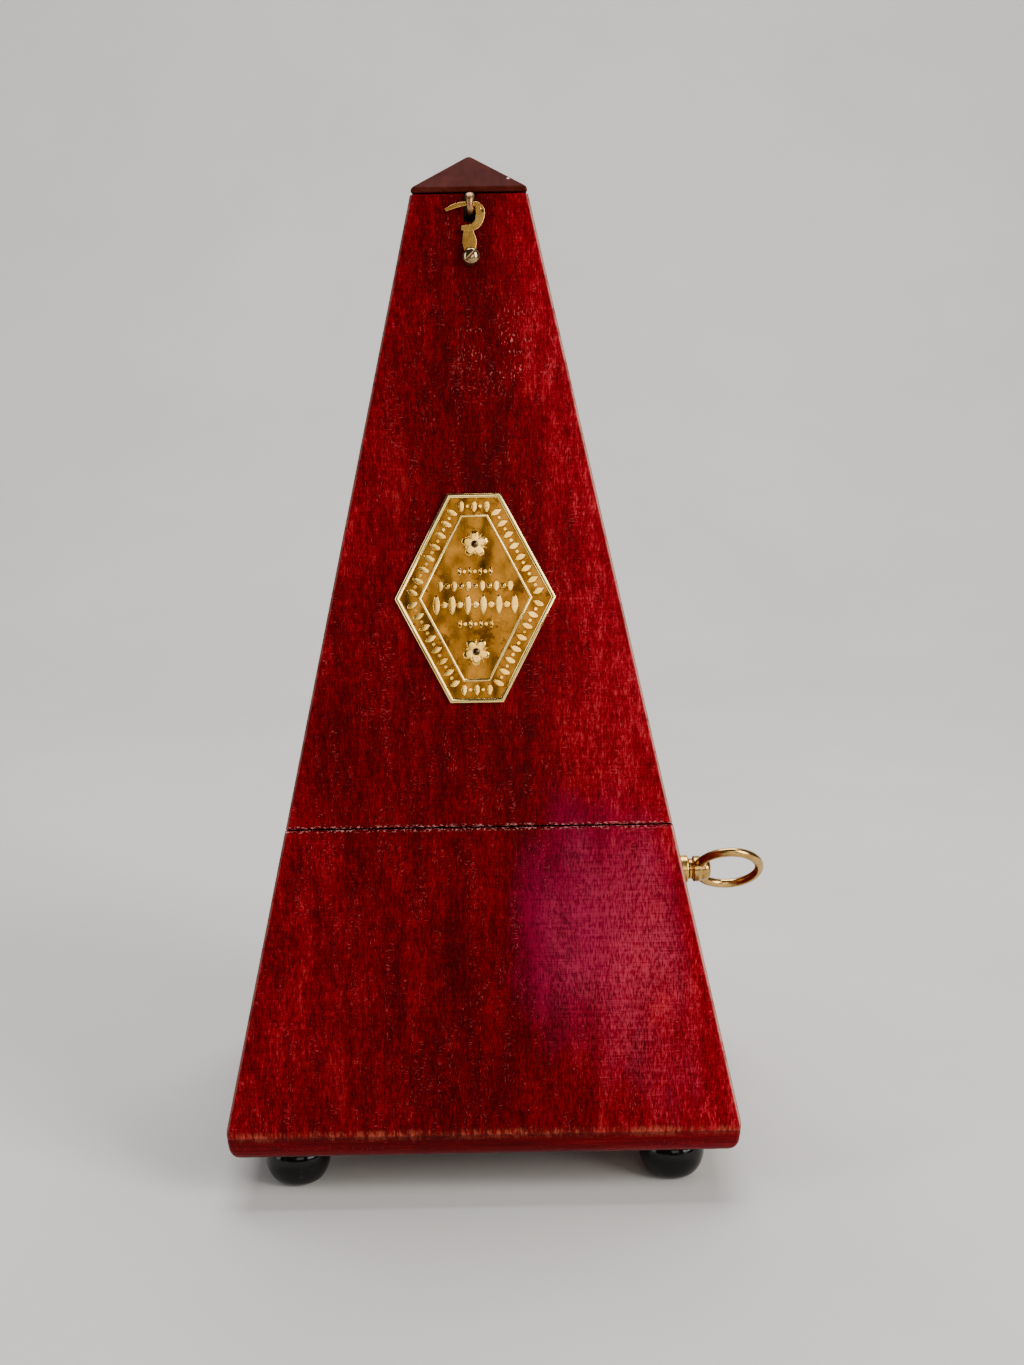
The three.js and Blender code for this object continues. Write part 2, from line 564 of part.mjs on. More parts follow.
function addFrame() {
  const plate = alongX(extruded(plateOutline(), PLATE_THICK));
  const hole = (radius, at) => onAxis([[0, -3], [radius, -3], [radius, 5], [0, 5]], at, 12);
  const shared = [hole(ARBOR_RADIUS + GAP, BARREL_AXIS), hole(1.3, SECOND_AXIS),
    ...PILLARS.map((at) => hole(1.5, at))];
  const click = [CLICK_PIVOT[0] * COS - CLICK_PIVOT[1] * SIN, CLICK_PIVOT[0] * SIN + CLICK_PIVOT[1] * COS];
  const clickHole = hole(1.3, [BARREL_AXIS[0] + click[0], BARREL_AXIS[1] + click[1]]);
  piece(face, 'movement_plate_left',
    moved(cut(plate, ...shared, hole(1.2, ESCAPE_AXIS)), -PLATE_X - PLATE_THICK, 0, 0), BRASS);
  piece(face, 'movement_plate_right', moved(cut(plate, ...shared, clickHole), PLATE_X, 0, 0), BRASS);
  const [inner, outer] = [PLATE_X - GAP, PLATE_X + PLATE_THICK + GAP];
  PILLARS.forEach((at, i) => {
    const pillar = onAxis([
      [0, -outer - 0.7], [1.9, -outer - 0.7], [1.9, -outer], [1.2, -outer], [1.2, -inner],
      [2, -inner], [2, inner], [1.2, inner], [1.2, outer], [1.9, outer], [1.9, outer + 0.7],
      [0, outer + 0.7]], at, 12);
    piece(face, `pillar_${i + 1}`, pillar, BRASS);
  });
}

function addBearers() {
  const up = FRAME.low - GAP;
  const at = (depth) => [-SEAM_HALF + up * SIN + depth * COS, levelOf(depth, up)];
  const [front, rear] = [at(FRAME.front + 1), at(FRAME.rear - 1)];
  const outline = polygon([[front[0], WIDE_Z], [rear[0], WIDE_Z], rear, front]);
  for (const [side, x] of [['left', -33.5], ['right', 27]]) {
    piece(metronome, `movement_bearer_${side}`, moved(alongX(extruded(outline, 6.5)), x, 0, 0),
      INNER_WOOD);
  }
}

function addCocks() {
  const [low, high] = [AXIS_UP - 3.1, AXIS_UP + 3.8];
  const bore = outward(drill(PIVOT_RADIUS + GAP, -40, -5, 14)).translate(0, 0, AXIS_UP);
  const reach = PLATE_X + PLATE_THICK;
  piece(face, 'verge_bridge', cut(block(-reach, reach, 11.5, 12.7, low, high), bore), BRASS);
  piece(face, 'verge_cock', cut(block(GAP - PLATE_X, 3.5, 31.6, 32.8, low, high), bore), BRASS);
  const arborHole = onAxis([[0, -20], [1.2, -20], [1.2, -10], [0, -10]], ESCAPE_AXIS, 14);
  piece(face, 'escape_potence',
    cut(block(...POTENCE_X, 13, 31.3, low, high), arborHole), BRASS);
}

// ---- Winding ---------------------------------------------------------------------------------
const BUSHING_RADIUS = 3.3;
const BUSHING_END = 49.7;
const KEY_START = BUSHING_END + 0.5;
const KEY_RING_RADIUS = 7.45;
const KEY_RING_WIRE = 1.08;
const RATCHET_X = [32, 33.5];

function addWinding() {
  const plateFace = PLATE_X + PLATE_THICK;
  const [core, journal, squareEnd] = [3.6, 1.3, 53.6];
  const arbor = alongX(turned([
    [0, -plateFace - 0.5], [1.7, -plateFace - 0.5], [1.7, -PLATE_X + 1], [ARBOR_RADIUS, -PLATE_X + 1],
    [ARBOR_RADIUS, SPRING_X[0]], [core, SPRING_X[0]], [core, SPRING_X[1]], [ARBOR_RADIUS, SPRING_X[1]],
    [ARBOR_RADIUS, KEY_START - 0.8], [journal, KEY_START - 0.8], [journal, squareEnd],
    [0, squareEnd]], 18));
  piece(winding, 'winding_arbor', arbor, STEEL);
  const points = [];
  const teeth = 20;
  for (let i = 0; i < teeth; i += 1) {
    for (const [share, r] of [[0, 7.8], [0.83, 9], [0.95, 9]]) {
      const angle = ((i + share) / teeth) * 2 * Math.PI;
      points.push([r * Math.cos(angle), r * Math.sin(angle)]);
    }
  }
  const disc = extruded(polygon(points), RATCHET_X[1] - RATCHET_X[0]);
  const ratchet = cut(disc, drill(ARBOR_RADIUS + GAP, -1, 3, 18));
  piece(winding, 'ratchet_wheel', moved(alongX(ratchet), RATCHET_X[0], 0, 0), STEEL);
  const inner = ARBOR_RADIUS + GAP;
  const bushing = turned([[inner, 42], [BUSHING_RADIUS, 42], [BUSHING_RADIUS, BUSHING_END - 0.4],
    [BUSHING_RADIUS - 0.4, BUSHING_END], [inner, BUSHING_END], [inner, 42]], 24);
  piece(winding, 'key_bushing', alongX(bushing), BRASS);
}

function addKey() {
  const start = KEY_START;
  const bore = 1.6;
  const hub = turned([
    [bore, start], [2.4, start], [2.3, start + 0.4], [3.1, start + 0.7], [3.1, start + 2.3],
    [2.8, start + 2.6], [2.7, start + 3.6], [2.3, start + 4.4], [1.6, start + 4.9], [0, start + 4.9],
    [0, start + 3.7], [bore, start + 3.7], [bore, start]], 16);
  const ring = new THREE.TorusGeometry(KEY_RING_RADIUS, KEY_RING_WIRE, 8, 28)
    .rotateX(KEY_RING_TILT).translate(start + 9.1, 0, 0);
  const hollow = alongX(drill(bore, start - 1, start + 3.7, 16));
  piece(winding, 'winding_key', cut(join(alongX(hub), ring), hollow), DARK_BRASS);
}

function addClick() {
  const [pivotY, pivotZ] = CLICK_PIVOT;
  const tip = [2.2, -9.75];
  const bar = polygon([
    [tip[0], tip[1] + 0.4], [tip[0] + 2.4, tip[1] + 0.5], [pivotY, pivotZ + 1.3],
    [pivotY + 1.3, pivotZ + 0.6], [pivotY + 1.5, pivotZ - 0.9], [pivotY, pivotZ - 2],
    [tip[0] + 2, tip[1] - 0.9], [tip[0], tip[1] - 0.4]]);
  const width = RATCHET_X[1] - RATCHET_X[0];
  const pawl = join(extruded(bar, width), moved(drill(2, 0, width, 16), pivotY, pivotZ, 0));
  const pierced = cut(pawl, moved(drill(1.3, -1, 3, 16), pivotY, pivotZ, 0));
  piece(winding, 'click', moved(alongX(pierced), RATCHET_X[0], 0, 0), STEEL);
  const head = RATCHET_X[1] + GAP;
  const screw = turned([[0, PLATE_X + 0.2], [1, PLATE_X + 0.2], [1, head], [2.1, head],
    [2.1, head + 0.9], [0, head + 0.9]], 14);
  piece(winding, 'click_screw', alongX(screw).translate(0, pivotY, pivotZ), STEEL);
  const leaf = polygon([[4, -13.4], [15, -14.4], [15, -12.8], [18, -12.8], [18, -16], [15, -16],
    [15, -15], [4, -13.9]]);
  piece(winding, 'click_spring',
    moved(alongX(extruded(leaf, 1.4)), PLATE_X + PLATE_THICK + GAP, 0, 0), STEEL);
}

// ---- Pendulum --------------------------------------------------------------------------------
const WEIGHT_UP = [11.5, 23.5]; // at rest, low on the rod
const NOTCH_PITCH = 3.4;
const BOB = { down: 37, radius: 11, front: 5.9, back: 13 };

function addPendulum() {
  const low = AXIS_UP - ROD_DOWN;
  const right = [[ROD_HALF, low]];
  for (let up = WEIGHT_UP[1] + 3; up < ROD_TOP - 6; up += NOTCH_PITCH) {
    right.push([ROD_HALF, up - 0.45], [ROD_HALF - 0.5, up], [ROD_HALF, up + 0.45]);
  }
  const outline = polygon([...right, [ROD_HALF, ROD_TOP - 2], [0.6, ROD_TOP], [-0.6, ROD_TOP],
    [-ROD_HALF, ROD_TOP - 2], [-ROD_HALF, low]]);
  const strip = outward(extruded(outline, ROD_THICK));
  const boss = outward(drill(3.2, 0, ROD_THICK, 20)).translate(0, 0, AXIS_UP);
  const bore = outward(drill(PIVOT_RADIUS + GAP, -1, 2, 14)).translate(0, 0, AXIS_UP);
  piece(face, 'pendulum_rod', cut(join(strip, boss), bore)
    .translate(0, ROD_DEPTH + ROD_THICK, 0), STEEL);
  const slot = (up0, up1) => block(-ROD_HALF - GAP, ROD_HALF + GAP, ROD_DEPTH - 0.15,
    ROD_DEPTH + ROD_THICK + 0.25, up0, up1);
  const bobMiddle = AXIS_UP - BOB.down;
  const bobOutline = new THREE.Shape().absarc(0, bobMiddle, BOB.radius, 0, 2 * Math.PI);
  const bob = outward(extruded(bobOutline, BOB.back - BOB.front, 14)).translate(0, BOB.back, 0);
  piece(face, 'counterweight_bob', cut(bob, slot(low - 0.5, AXIS_UP)), LEAD);
  const [weightLow, weightHigh] = WEIGHT_UP;
  const weight = outward(extruded(polygon([[-6.6, weightLow], [6.6, weightLow],
    [7.5, weightLow + 1], [5.2, weightHigh - 0.6], [4.4, weightHigh], [-4.4, weightHigh],
    [-5.2, weightHigh - 0.6], [-7.5, weightLow + 1]]), 6.4)).translate(0, 10.2, 0);
  piece(face, 'tempo_weight', cut(weight, slot(weightLow - 1, weightHigh + 1)), BRASS);
}

addBase();
addPanels();
addTop();
addScale();
addRodRest();
addEye();
addDoor();
addBadge();
addLatch();
addFrame();
addBearers();
addCocks();
addBarrel();
addMainspring();
addSecondWheel();
addEscapement();
addVerge();
addWinding();
addKey();
addClick();
addPendulum();

export default metronome;
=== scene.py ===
"""Looks for a pyramid metronome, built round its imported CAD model. Sizes are millimetres unless said."""
import json
import math

import bmesh
import bpy
from mathutils import Matrix, Vector


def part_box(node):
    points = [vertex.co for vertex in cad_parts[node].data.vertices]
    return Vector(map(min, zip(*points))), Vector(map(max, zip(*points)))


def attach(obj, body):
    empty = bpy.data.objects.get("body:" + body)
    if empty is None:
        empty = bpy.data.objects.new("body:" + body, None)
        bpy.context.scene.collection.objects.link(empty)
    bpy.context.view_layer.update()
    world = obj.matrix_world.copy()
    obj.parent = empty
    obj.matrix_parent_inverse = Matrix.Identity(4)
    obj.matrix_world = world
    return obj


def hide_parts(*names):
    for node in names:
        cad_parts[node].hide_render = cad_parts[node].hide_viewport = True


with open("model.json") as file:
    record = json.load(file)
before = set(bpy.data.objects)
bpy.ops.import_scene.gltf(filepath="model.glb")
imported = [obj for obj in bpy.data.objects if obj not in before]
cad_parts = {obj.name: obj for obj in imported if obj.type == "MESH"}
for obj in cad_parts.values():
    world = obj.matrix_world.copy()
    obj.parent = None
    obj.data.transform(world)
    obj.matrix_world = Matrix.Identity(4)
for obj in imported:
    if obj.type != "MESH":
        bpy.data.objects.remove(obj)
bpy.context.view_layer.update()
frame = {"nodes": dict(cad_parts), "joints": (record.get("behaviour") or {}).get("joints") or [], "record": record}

MM = 0.001
JOINTS = {joint["name"]: joint for joint in frame["joints"]}
BODY_OF = {n: b for b, nodes in frame["record"]["behaviour"]["bodies"].items() for n in nodes}


# ---- The shape of the case, read from the frame ----------------------------------------------
def box_mm(node):
    """A node's lowest and highest corner."""
    low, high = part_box(node)
    return low / MM, high / MM


SEAM = Vector(JOINTS["door_tilt"]["pos_m"])
OUT = Vector(JOINTS["latch_turn"]["axis"]).normalized()
ACROSS = Vector((1, 0, 0))
UP = OUT.cross(ACROSS)
SLOPE = OUT.z / -OUT.y
WIDE_Z = box_mm("front_lower_panel")[0].z
WIDE_HALF = box_mm("front_lower_panel")[1].x
SEAM_Z = SEAM.z / MM


def placed(x_axis, y_axis, z_axis, origin_m):
    """A matrix from millimetres along three axes, about a point in metres."""
    rows = Matrix((x_axis, y_axis, z_axis)).transposed()
    return Matrix.Translation(origin_m) @ rows.to_4x4() @ Matrix.Scale(MM, 4)


WORLD = placed(ACROSS, Vector((0, 1, 0)), Vector((0, 0, 1)), Vector((0, 0, 0)))
FACE = placed(ACROSS, UP, OUT, SEAM)  # x across, y up the slope, z out of the front face
KEY_LEVEL = Matrix.Translation(Vector(JOINTS["key_wind"]["pos_m"])) @ Matrix.Scale(MM, 4)
KEY = placed(Vector((0, 1, 0)), Vector((0, 0, 1)), ACROSS, Vector(JOINTS["key_wind"]["pos_m"]))


def half(z):
    """Half-width of the case at a level."""
    return WIDE_HALF - SLOPE * (z - WIDE_Z)


def on_face(node):
    """A node's lowest and highest corner in the front face's frame."""
    points = [FACE.inverted() @ v.co for v in frame["nodes"][node].data.vertices]
    low = Vector([min(p[i] for p in points) for i in range(3)])
    return low, Vector([max(p[i] for p in points) for i in range(3)])


# ---- Camera, floor and lights ----------------------------------------------------------------
CAMERA_PLACE = Vector((3.7, -485.2, 197.9))
CAMERA_TURN = (0.527, 10.608, -0.850)  # yaw, pitch down and roll in degrees
SENSOR_WIDTH, LENS = 36, 54.07


def add_camera():
    """The photograph's viewpoint: a little right of centre, looking down about ten degrees."""
    yaw, pitch, roll = (math.radians(angle) for angle in CAMERA_TURN)
    forward = Vector((math.sin(yaw) * math.cos(pitch), math.cos(yaw) * math.cos(pitch), -math.sin(pitch)))
    level_right = forward.cross(Vector((0, 0, 1))).normalized()
    level_up = level_right.cross(forward)
    right = level_right * math.cos(roll) + level_up * math.sin(roll)
    up = level_up * math.cos(roll) - level_right * math.sin(roll)
    data = bpy.data.cameras.new("camera")
    data.sensor_width = SENSOR_WIDTH
    data.lens = LENS
    data.clip_start = 0.01
    camera = bpy.data.objects.new("camera", data)
    axes = Matrix((right, up, -forward)).transposed().to_4x4()
    camera.matrix_world = Matrix.Translation(CAMERA_PLACE * MM) @ axes
    bpy.context.scene.collection.objects.link(camera)
    bpy.context.scene.camera = camera


def add_light(name, place, target, size, power, colour):
    """A rectangular light in metres and watts, aimed at a target."""
    data = bpy.data.lights.new(name, "AREA")
    data.shape = "RECTANGLE"
    data.size, data.size_y = size
    data.energy = power
    data.color = colour
    light = bpy.data.objects.new(name, data)
    light.location = place
    light.rotation_euler = (Vector(target) - Vector(place)).to_track_quat("-Z", "Y").to_euler()
    bpy.context.scene.collection.objects.link(light)


def add_studio():
    """Soft daylight from the right and above, a warm light in front, and a weak fill from the left."""
    middle = (0, 0, 0.11)
    add_light("window", (0.85, -0.70, 0.62), middle, (0.55, 0.9), 16, (1.0, 0.97, 0.93))
    add_light("front", (0.22, -1.22, 0.50), middle, (0.54, 0.46), 2.1, (1.0, 0.92, 0.80))
    add_light("fill", (-0.85, -0.35, 0.40), middle, (0.3, 0.8), 2.5, (0.90, 0.95, 1.0))
    add_light("overhead", (0.0, 0.35, 1.1), middle, (0.9, 0.6), 12, (1.0, 1.0, 1.0))
    world = bpy.data.worlds.new("studio")
    world.use_nodes = True
    background = world.node_tree.nodes["Background"]
    background.inputs["Color"].default_value = (0.86, 0.89, 0.94, 1)
    background.inputs["Strength"].default_value = 0.09
    bpy.context.scene.world = world


def add_sweep():
    """A pale floor, in metres, that curves up behind into a backdrop."""
    front, back, bend, height, half_width, steps = -1.6, 0.5, 0.5, 2.2, 2.2, 12
    profile = [(front, 0.0), (back, 0.0)]
    for step in range(1, steps + 1):
        angle = step / steps * math.pi / 2
        profile.append((back + bend * math.sin(angle), bend * (1 - math.cos(angle))))
    profile.append((back + bend, height))
    vertices = [(x, y, z) for y, z in profile for x in (-half_width, half_width)]
    faces = [(2 * i, 2 * i + 1, 2 * i + 3, 2 * i + 2) for i in range(len(profile) - 1)]
    mesh = bpy.data.meshes.new("sweep")
    mesh.from_pydata(vertices, [], faces)
    mesh.shade_smooth()
    sweep = bpy.data.objects.new("sweep", mesh)
    bpy.context.scene.collection.objects.link(sweep)
    paint = Shader("sweep_paint", **{"Roughness": 0.85})
    tint = paint.noise((9, 9, 9), detail=3)
    paint.link("Base Color", paint.ramp(tint, [(0.3, (0.70, 0.685, 0.65)), (0.7, (0.74, 0.73, 0.70))]))
    mesh.materials.append(paint.material)


# ---- Materials -------------------------------------------------------------------------------
class Shader:
    """A Principled material under construction, with textures placed by the object's own coordinates."""

    def __init__(self, name, **sockets):
        self.material = bpy.data.materials.new(name)
        self.material.use_nodes = True
        self.tree = self.material.node_tree
        self.bsdf = self.tree.nodes["Principled BSDF"]
        for socket, value in sockets.items():
            self.bsdf.inputs[socket].default_value = value
        self.position = self.add("ShaderNodeTexCoord").outputs["Object"]

    def add(self, kind, inputs=None, **settings):
        node = self.tree.nodes.new(kind)
        for name, value in settings.items():
            setattr(node, name, value)
        for name, value in (inputs or {}).items():
            if isinstance(value, bpy.types.NodeSocket):
                self.tree.links.new(value, node.inputs[name])
            else:
                node.inputs[name].default_value = value
        return node

    def link(self, socket, value):
        self.tree.links.new(value, self.bsdf.inputs[socket])

    def math(self, operation, a, b=0.0):
        return self.add("ShaderNodeMath", {0: a, 1: b}, operation=operation).outputs[0]

    def product(self, *factors):
        result = factors[0]
        for factor in factors[1:]:
            result = self.math("MULTIPLY", result, factor)
        return result

    def total(self, *terms):
        """The sum of values, each times its own weight."""
        sum_so_far = 0.0
        for value, weight in terms:
            sum_so_far = self.add("ShaderNodeMath", {0: value, 1: weight, 2: sum_so_far},
                                  operation="MULTIPLY_ADD").outputs[0]
        return sum_so_far

    def axes(self):
        """The object's coordinates in metres, as x, y and z."""
        return self.add("ShaderNodeSeparateXYZ", {0: self.position}).outputs[:3]

    def noise(self, scale, detail=4, roughness=0.6, shift=0.0, distortion=0.0):
        """Noise with its own scale, in waves per metre, along each axis."""
        place = self.add("ShaderNodeMapping", {"Vector": self.position, "Scale": scale,
                                               "Location": (shift, shift, shift)}).outputs[0]
        return self.add("ShaderNodeTexNoise", {
            "Vector": place, "Scale": 1.0, "Detail": detail, "Roughness": roughness,
            "Distortion": distortion}).outputs[0]

    def fade(self, value, low, high, start=0.0, end=1.0):
        """A smooth step from start to end as value goes from low to high."""
        return self.add("ShaderNodeMapRange", {
            "Value": value, "From Min": low, "From Max": high, "To Min": start, "To Max": end},
            interpolation_type="SMOOTHSTEP").outputs[0]

    def ramp(self, value, stops):
        node = self.add("ShaderNodeValToRGB", {"Fac": value})
        elements = node.color_ramp.elements
        while len(elements) < len(stops):
            elements.new(0.5)
        for element, (place, colour) in zip(elements, stops):
            element.position = place
            element.color = (*colour, 1)
        return node.outputs[0]

    def mix(self, amount, a, b):
        colours = [(*c, 1) if isinstance(c, tuple) else c for c in (a, b)]
        return self.add("ShaderNodeMix", {0: amount, 6: colours[0], 7: colours[1]},
                        data_type="RGBA").outputs[2]

    def bump(self, height, strength, distance):
        """Relief on the normal; distance is in metres."""
        self.link("Normal", self.add("ShaderNodeBump", {
            "Height": height, "Strength": strength, "Distance": distance}).outputs[0])

    def spot(self, place, reach, core=0.0, ragged=0.5):
        """1 near a point in metres, fading to 0 at its reach along each axis. core is the share of the reach
        that stays 1, and ragged is noise about 0.5 that makes the outline uneven."""
        shifted = self.add("ShaderNodeVectorMath", {0: self.position, 1: place},
                           operation="SUBTRACT").outputs[0]
        scaled = self.add("ShaderNodeVectorMath", {0: shifted, 1: reach}, operation="DIVIDE").outputs[0]
        distance = self.add("ShaderNodeVectorMath", {0: scaled}, operation="LENGTH").outputs["Value"]
        uneven = self.total((distance, 1.0), (self.math("SUBTRACT", ragged, 0.5), 2.0))
        return self.fade(uneven, core, 1.0, 1.0, 0.0)

    def half_width(self, z):
        """Half-width of the case in metres at a level."""
        drawn_in = self.math("MULTIPLY", self.math("SUBTRACT", z, WIDE_Z * MM), SLOPE)
        return self.math("SUBTRACT", WIDE_HALF * MM, drawn_in)

    def arris(self, width):
        """1 along the case's corner edges, fading to 0 a width in metres from them."""
        x, y, z = self.axes()
        nearer = self.math("MINIMUM", self.math("ABSOLUTE", x), self.math("ABSOLUTE", y))
        inside = self.math("SUBTRACT", self.half_width(z), nearer)
        return self.fade(inside, 0.0, width, 1.0, 0.0)

    def near_level(self, level, low, high, strength=1):
        """strength within low of a level, fading to 0 at high from it, all in metres."""
        _, _, z = self.axes()
        distance = self.math("ABSOLUTE", self.math("SUBTRACT", z, level))
        return self.fade(distance, low, high, strength, 0)


def along(grain, across, lengthwise):
    """Noise scales with long waves along one axis."""
    return tuple(lengthwise if axis == grain else across for axis in "XYZ")


def stained(s, tone, cloud, face):
    """Crimson stain, dark down the middle of a panel and brighter towards its corner edges, partly from worn stain
    and partly as a painted sheen.
    """
    dark = s.ramp(tone, [(0.42, (0.018, 0.0, 0.0003)), (0.5, (0.064, 0.0, 0.0010)),
                         (0.58, (0.16, 0.0004, 0.003))])
    bright = s.ramp(tone, [(0.42, (0.070, 0.0, 0.0016)), (0.5, (0.20, 0.0001, 0.0060)),
                           (0.55, (0.33, 0.003, 0.014)), (0.61, (0.50, 0.040, 0.042))])
    x, y, z = s.axes()
    reach = s.math("DIVIDE", y if face == "side" else x, s.half_width(z))
    # painted light: on the front, the right edge is a little brighter than the left, as if lit from the right
    stain_and_sheen = s.total((s.math("ABSOLUTE", reach), 0.80), (reach, 0.16), (s.math("SUBTRACT", cloud, 0.5), 1.0))
    return s.mix(s.fade(stain_and_sheen, 0.10, 0.95, 0.0, 0.92), dark, bright)


def worn_flecks(s, grain):
    """Where the stain is worn away, in columns: short upright flecks, and rungs across the grain."""
    flecks = s.noise(along(grain, 4200, 800), detail=2, shift=17)
    columns = s.noise(along(grain, 420, 26), detail=3, shift=23)
    upright = s.product(s.fade(flecks, 0.60, 0.68), s.fade(columns, 0.48, 0.68, 0.02, 0.60))
    rungs = s.noise(along(grain, 1100, 3600), detail=1, shift=37)
    ladders = s.noise(along(grain, 330, 20), detail=2, shift=43)
    across = s.product(s.fade(rungs, 0.61, 0.70), s.fade(ladders, 0.50, 0.68, 0, 0.45))
    return s.math("MAXIMUM", upright, across)


def scuffed(s, colour):
    """A scuffed patch under the latch."""
    scuffs = s.noise((2900, 2900, 850), detail=1, shift=31)
    patches = s.noise((150, 150, 150), detail=2, shift=47)
    marks = s.product(s.fade(scuffs, 0.64, 0.70, 0, 0.9), s.fade(patches, 0.44, 0.56),
                      s.spot((0.008, -0.020, 0.187), (0.014, 0.1, 0.013), 0.4))
    return s.mix(marks, colour, (0.60, 0.13, 0.11))


def bloomed(s, colour, tone, cloud, fibres):
    """A painted reflection of a window, low on the right: a dull violet patch, with paler streaks over it that
    stop short of the corner edge.
    """
    violet_reflection = s.product(s.spot((0.024, -0.046, 0.059), (0.025, 0.1, 0.036), ragged=cloud),
                      s.fade(tone, 0.42, 0.56, 0.25, 0.90))
    colour = s.mix(violet_reflection, colour, (0.20, 0.002, 0.036))
    margin = s.fade(s.arris(0.010), 0.0, 1.0, 1.0, 0.0)
    pale_reflection_streaks = s.product(s.spot((0.034, -0.050, 0.052), (0.026, 0.1, 0.034), ragged=cloud), margin,
                      s.fade(fibres, 0.43, 0.60, 0.10, 0.95))
    return s.mix(pale_reflection_streaks, colour, (0.42, 0.036, 0.070))


def seam_wear(s, colour):
    """Painted shade along the seam, and chips of bare wood beside it."""
    colour = s.mix(s.near_level(SEAM_Z * MM, 0.0001, 0.0004, 0.5), colour, (0.03, 0.001, 0.002))
    crumbs = s.noise((1300, 1300, 2600), detail=2, shift=41)
    chips = s.product(s.near_level(SEAM_Z * MM, 0.0004, 0.0009), s.fade(crumbs, 0.55, 0.60, 0, 0.85))
    return s.mix(chips, colour, (0.60, 0.24, 0.22))


def edge_wear(s, colour):
    """Corner edges rubbed down to pale wood and given a painted highlight, most on the right where the light comes
    from, and rubbed patches along the foot.
    """
    x, _, _ = s.axes()
    edge = s.noise((150, 150, 170), detail=5, roughness=0.7)
    # pale corner line: real wear with a painted highlight, stronger on the right
    rub_and_highlight = s.product(s.arris(0.0007), s.fade(edge, 0.34, 0.54, 0.2, 1), s.fade(x, -0.02, 0.02, 0.35, 1.0))
    colour = s.mix(rub_and_highlight, colour, (0.78, 0.46, 0.36))
    foot_wear = s.noise((1500, 1500, 420), detail=3, roughness=0.7, shift=2)
    foot_cloud = s.noise((90, 90, 60), detail=2, shift=53)
    patches = s.fade(s.total((foot_wear, 0.6), (foot_cloud, 0.4)), 0.49, 0.60, 0.05, 0.75)
    low_rub = s.product(s.near_level((WIDE_Z + 0.4) * MM, 0.0001, 0.0017), patches)
    return s.mix(low_rub, colour, (0.40, 0.075, 0.040))


def mahogany(name, grain="Z", face="front"):
    """Crimson-stained mahogany under thin, worn polish, with a painted sheen towards the corner edges. The front
    has marks of its own, among them a painted window reflection and painted shade along the seam.
    """
    s = Shader(name, **{"Coat Weight": 0.02, "Coat Roughness": 0.25, "Specular IOR Level": 0.32,
                        "Specular Tint": (1.0, 0.05, 0.08, 1)})
    bands = s.noise(along(grain, 210, 6), detail=4, shift=3)
    streaks = s.noise(along(grain, 1400, 36), detail=3)
    threads = s.noise(along(grain, 3400, 70), detail=2, shift=61)
    dashes = s.noise(along(grain, 3800, 330), detail=2, roughness=0.7, shift=7)
    rubbing = s.noise(along(grain, 140, 3300), detail=2, shift=19)
    cloud = s.noise((38, 38, 16), detail=3, shift=5)
    tone = s.total((bands, 0.24), (streaks, 0.26), (threads, 0.24), (dashes, 0.16), (rubbing, 0.10))
    colour = stained(s, tone, cloud, face)
    pores = s.noise(along(grain, 5200, 420), detail=1, shift=11)
    colour = s.mix(s.fade(pores, 0.58, 0.68, 0, 0.6), colour, (0.012, 0.0, 0.0))
    worn = worn_flecks(s, grain)
    colour = s.mix(worn, colour, (0.50, 0.055, 0.060))
    if face == "front":
        colour = scuffed(s, colour)
        colour = bloomed(s, colour, tone, cloud, s.total((threads, 0.7), (rubbing, 0.3)))
        colour = seam_wear(s, colour)
    colour = edge_wear(s, colour)
    if face == "base":
        colour = s.mix(0.5, colour, (0.03, 0.001, 0.001))
    s.link("Base Color", colour)
    s.link("Roughness", s.fade(s.total((dashes, 1.0), (worn, 0.4)), 0.3, 0.9, 0.36, 0.60))
    s.bump(s.total((dashes, 0.6), (streaks, 0.4), (worn, -0.2)), 0.28, 0.0001)
    return s.material


def plain_wood(name, dark, light):
    """Unpolished wood with fine, straight, upright grain."""
    s = Shader(name, **{"Specular IOR Level": 0.35})
    rings = s.noise(along("Z", 420, 16), detail=4, distortion=0.3)
    pores = s.noise(along("Z", 3000, 190), detail=2, shift=9)
    tone = s.total((rings, 0.7), (pores, 0.3))
    colour = s.ramp(tone, [(0.32, dark), (0.68, light)])
    smudge = s.fade(s.noise((70, 70, 70), detail=3, shift=4), 0.42, 0.7, 0, 0.45)
    s.link("Base Color", s.mix(smudge, colour, tuple(c * 0.5 for c in dark)))
    s.link("Roughness", s.fade(pores, 0.3, 0.7, 0.52, 0.72))
    s.bump(tone, 0.3, 0.0001)
    return s.material


def cap_wood(name):
    """Dull, dark brown wood, with rubbed ridges and one pale nick."""
    s = Shader(name, **{"Specular IOR Level": 0.02, "Specular Tint": (1.0, 0.34, 0.28, 1)})
    grain = s.noise((300, 60, 300), detail=4, distortion=0.4)
    fine = s.noise((2600, 500, 2600), detail=2, shift=6)
    tone = s.total((grain, 0.6), (fine, 0.4))
    colour = s.ramp(tone, [(0.3, (0.030, 0.0030, 0.0018)), (0.5, (0.055, 0.0075, 0.0048)),
                           (0.7, (0.090, 0.016, 0.011))])
    x, y, _ = s.axes()
    ridge = s.math("ABSOLUTE", s.math("SUBTRACT", s.math("ABSOLUTE", x), s.math("ABSOLUTE", y)))
    rubbed = s.product(s.fade(ridge, 0.0, 0.0005, 1, 0), s.fade(fine, 0.4, 0.6, 0.05, 0.45))
    colour = s.mix(rubbed, colour, (0.14, 0.045, 0.03))
    chip = s.spot((0.0089, -0.0097, 0.2246), (0.0004, 0.0004, 0.0004), 0.7)
    s.link("Base Color", s.mix(chip, colour, (0.75, 0.68, 0.60)))
    s.link("Roughness", s.fade(fine, 0.3, 0.7, 0.46, 0.66))
    s.bump(tone, 0.25, 0.00008)
    return s.material


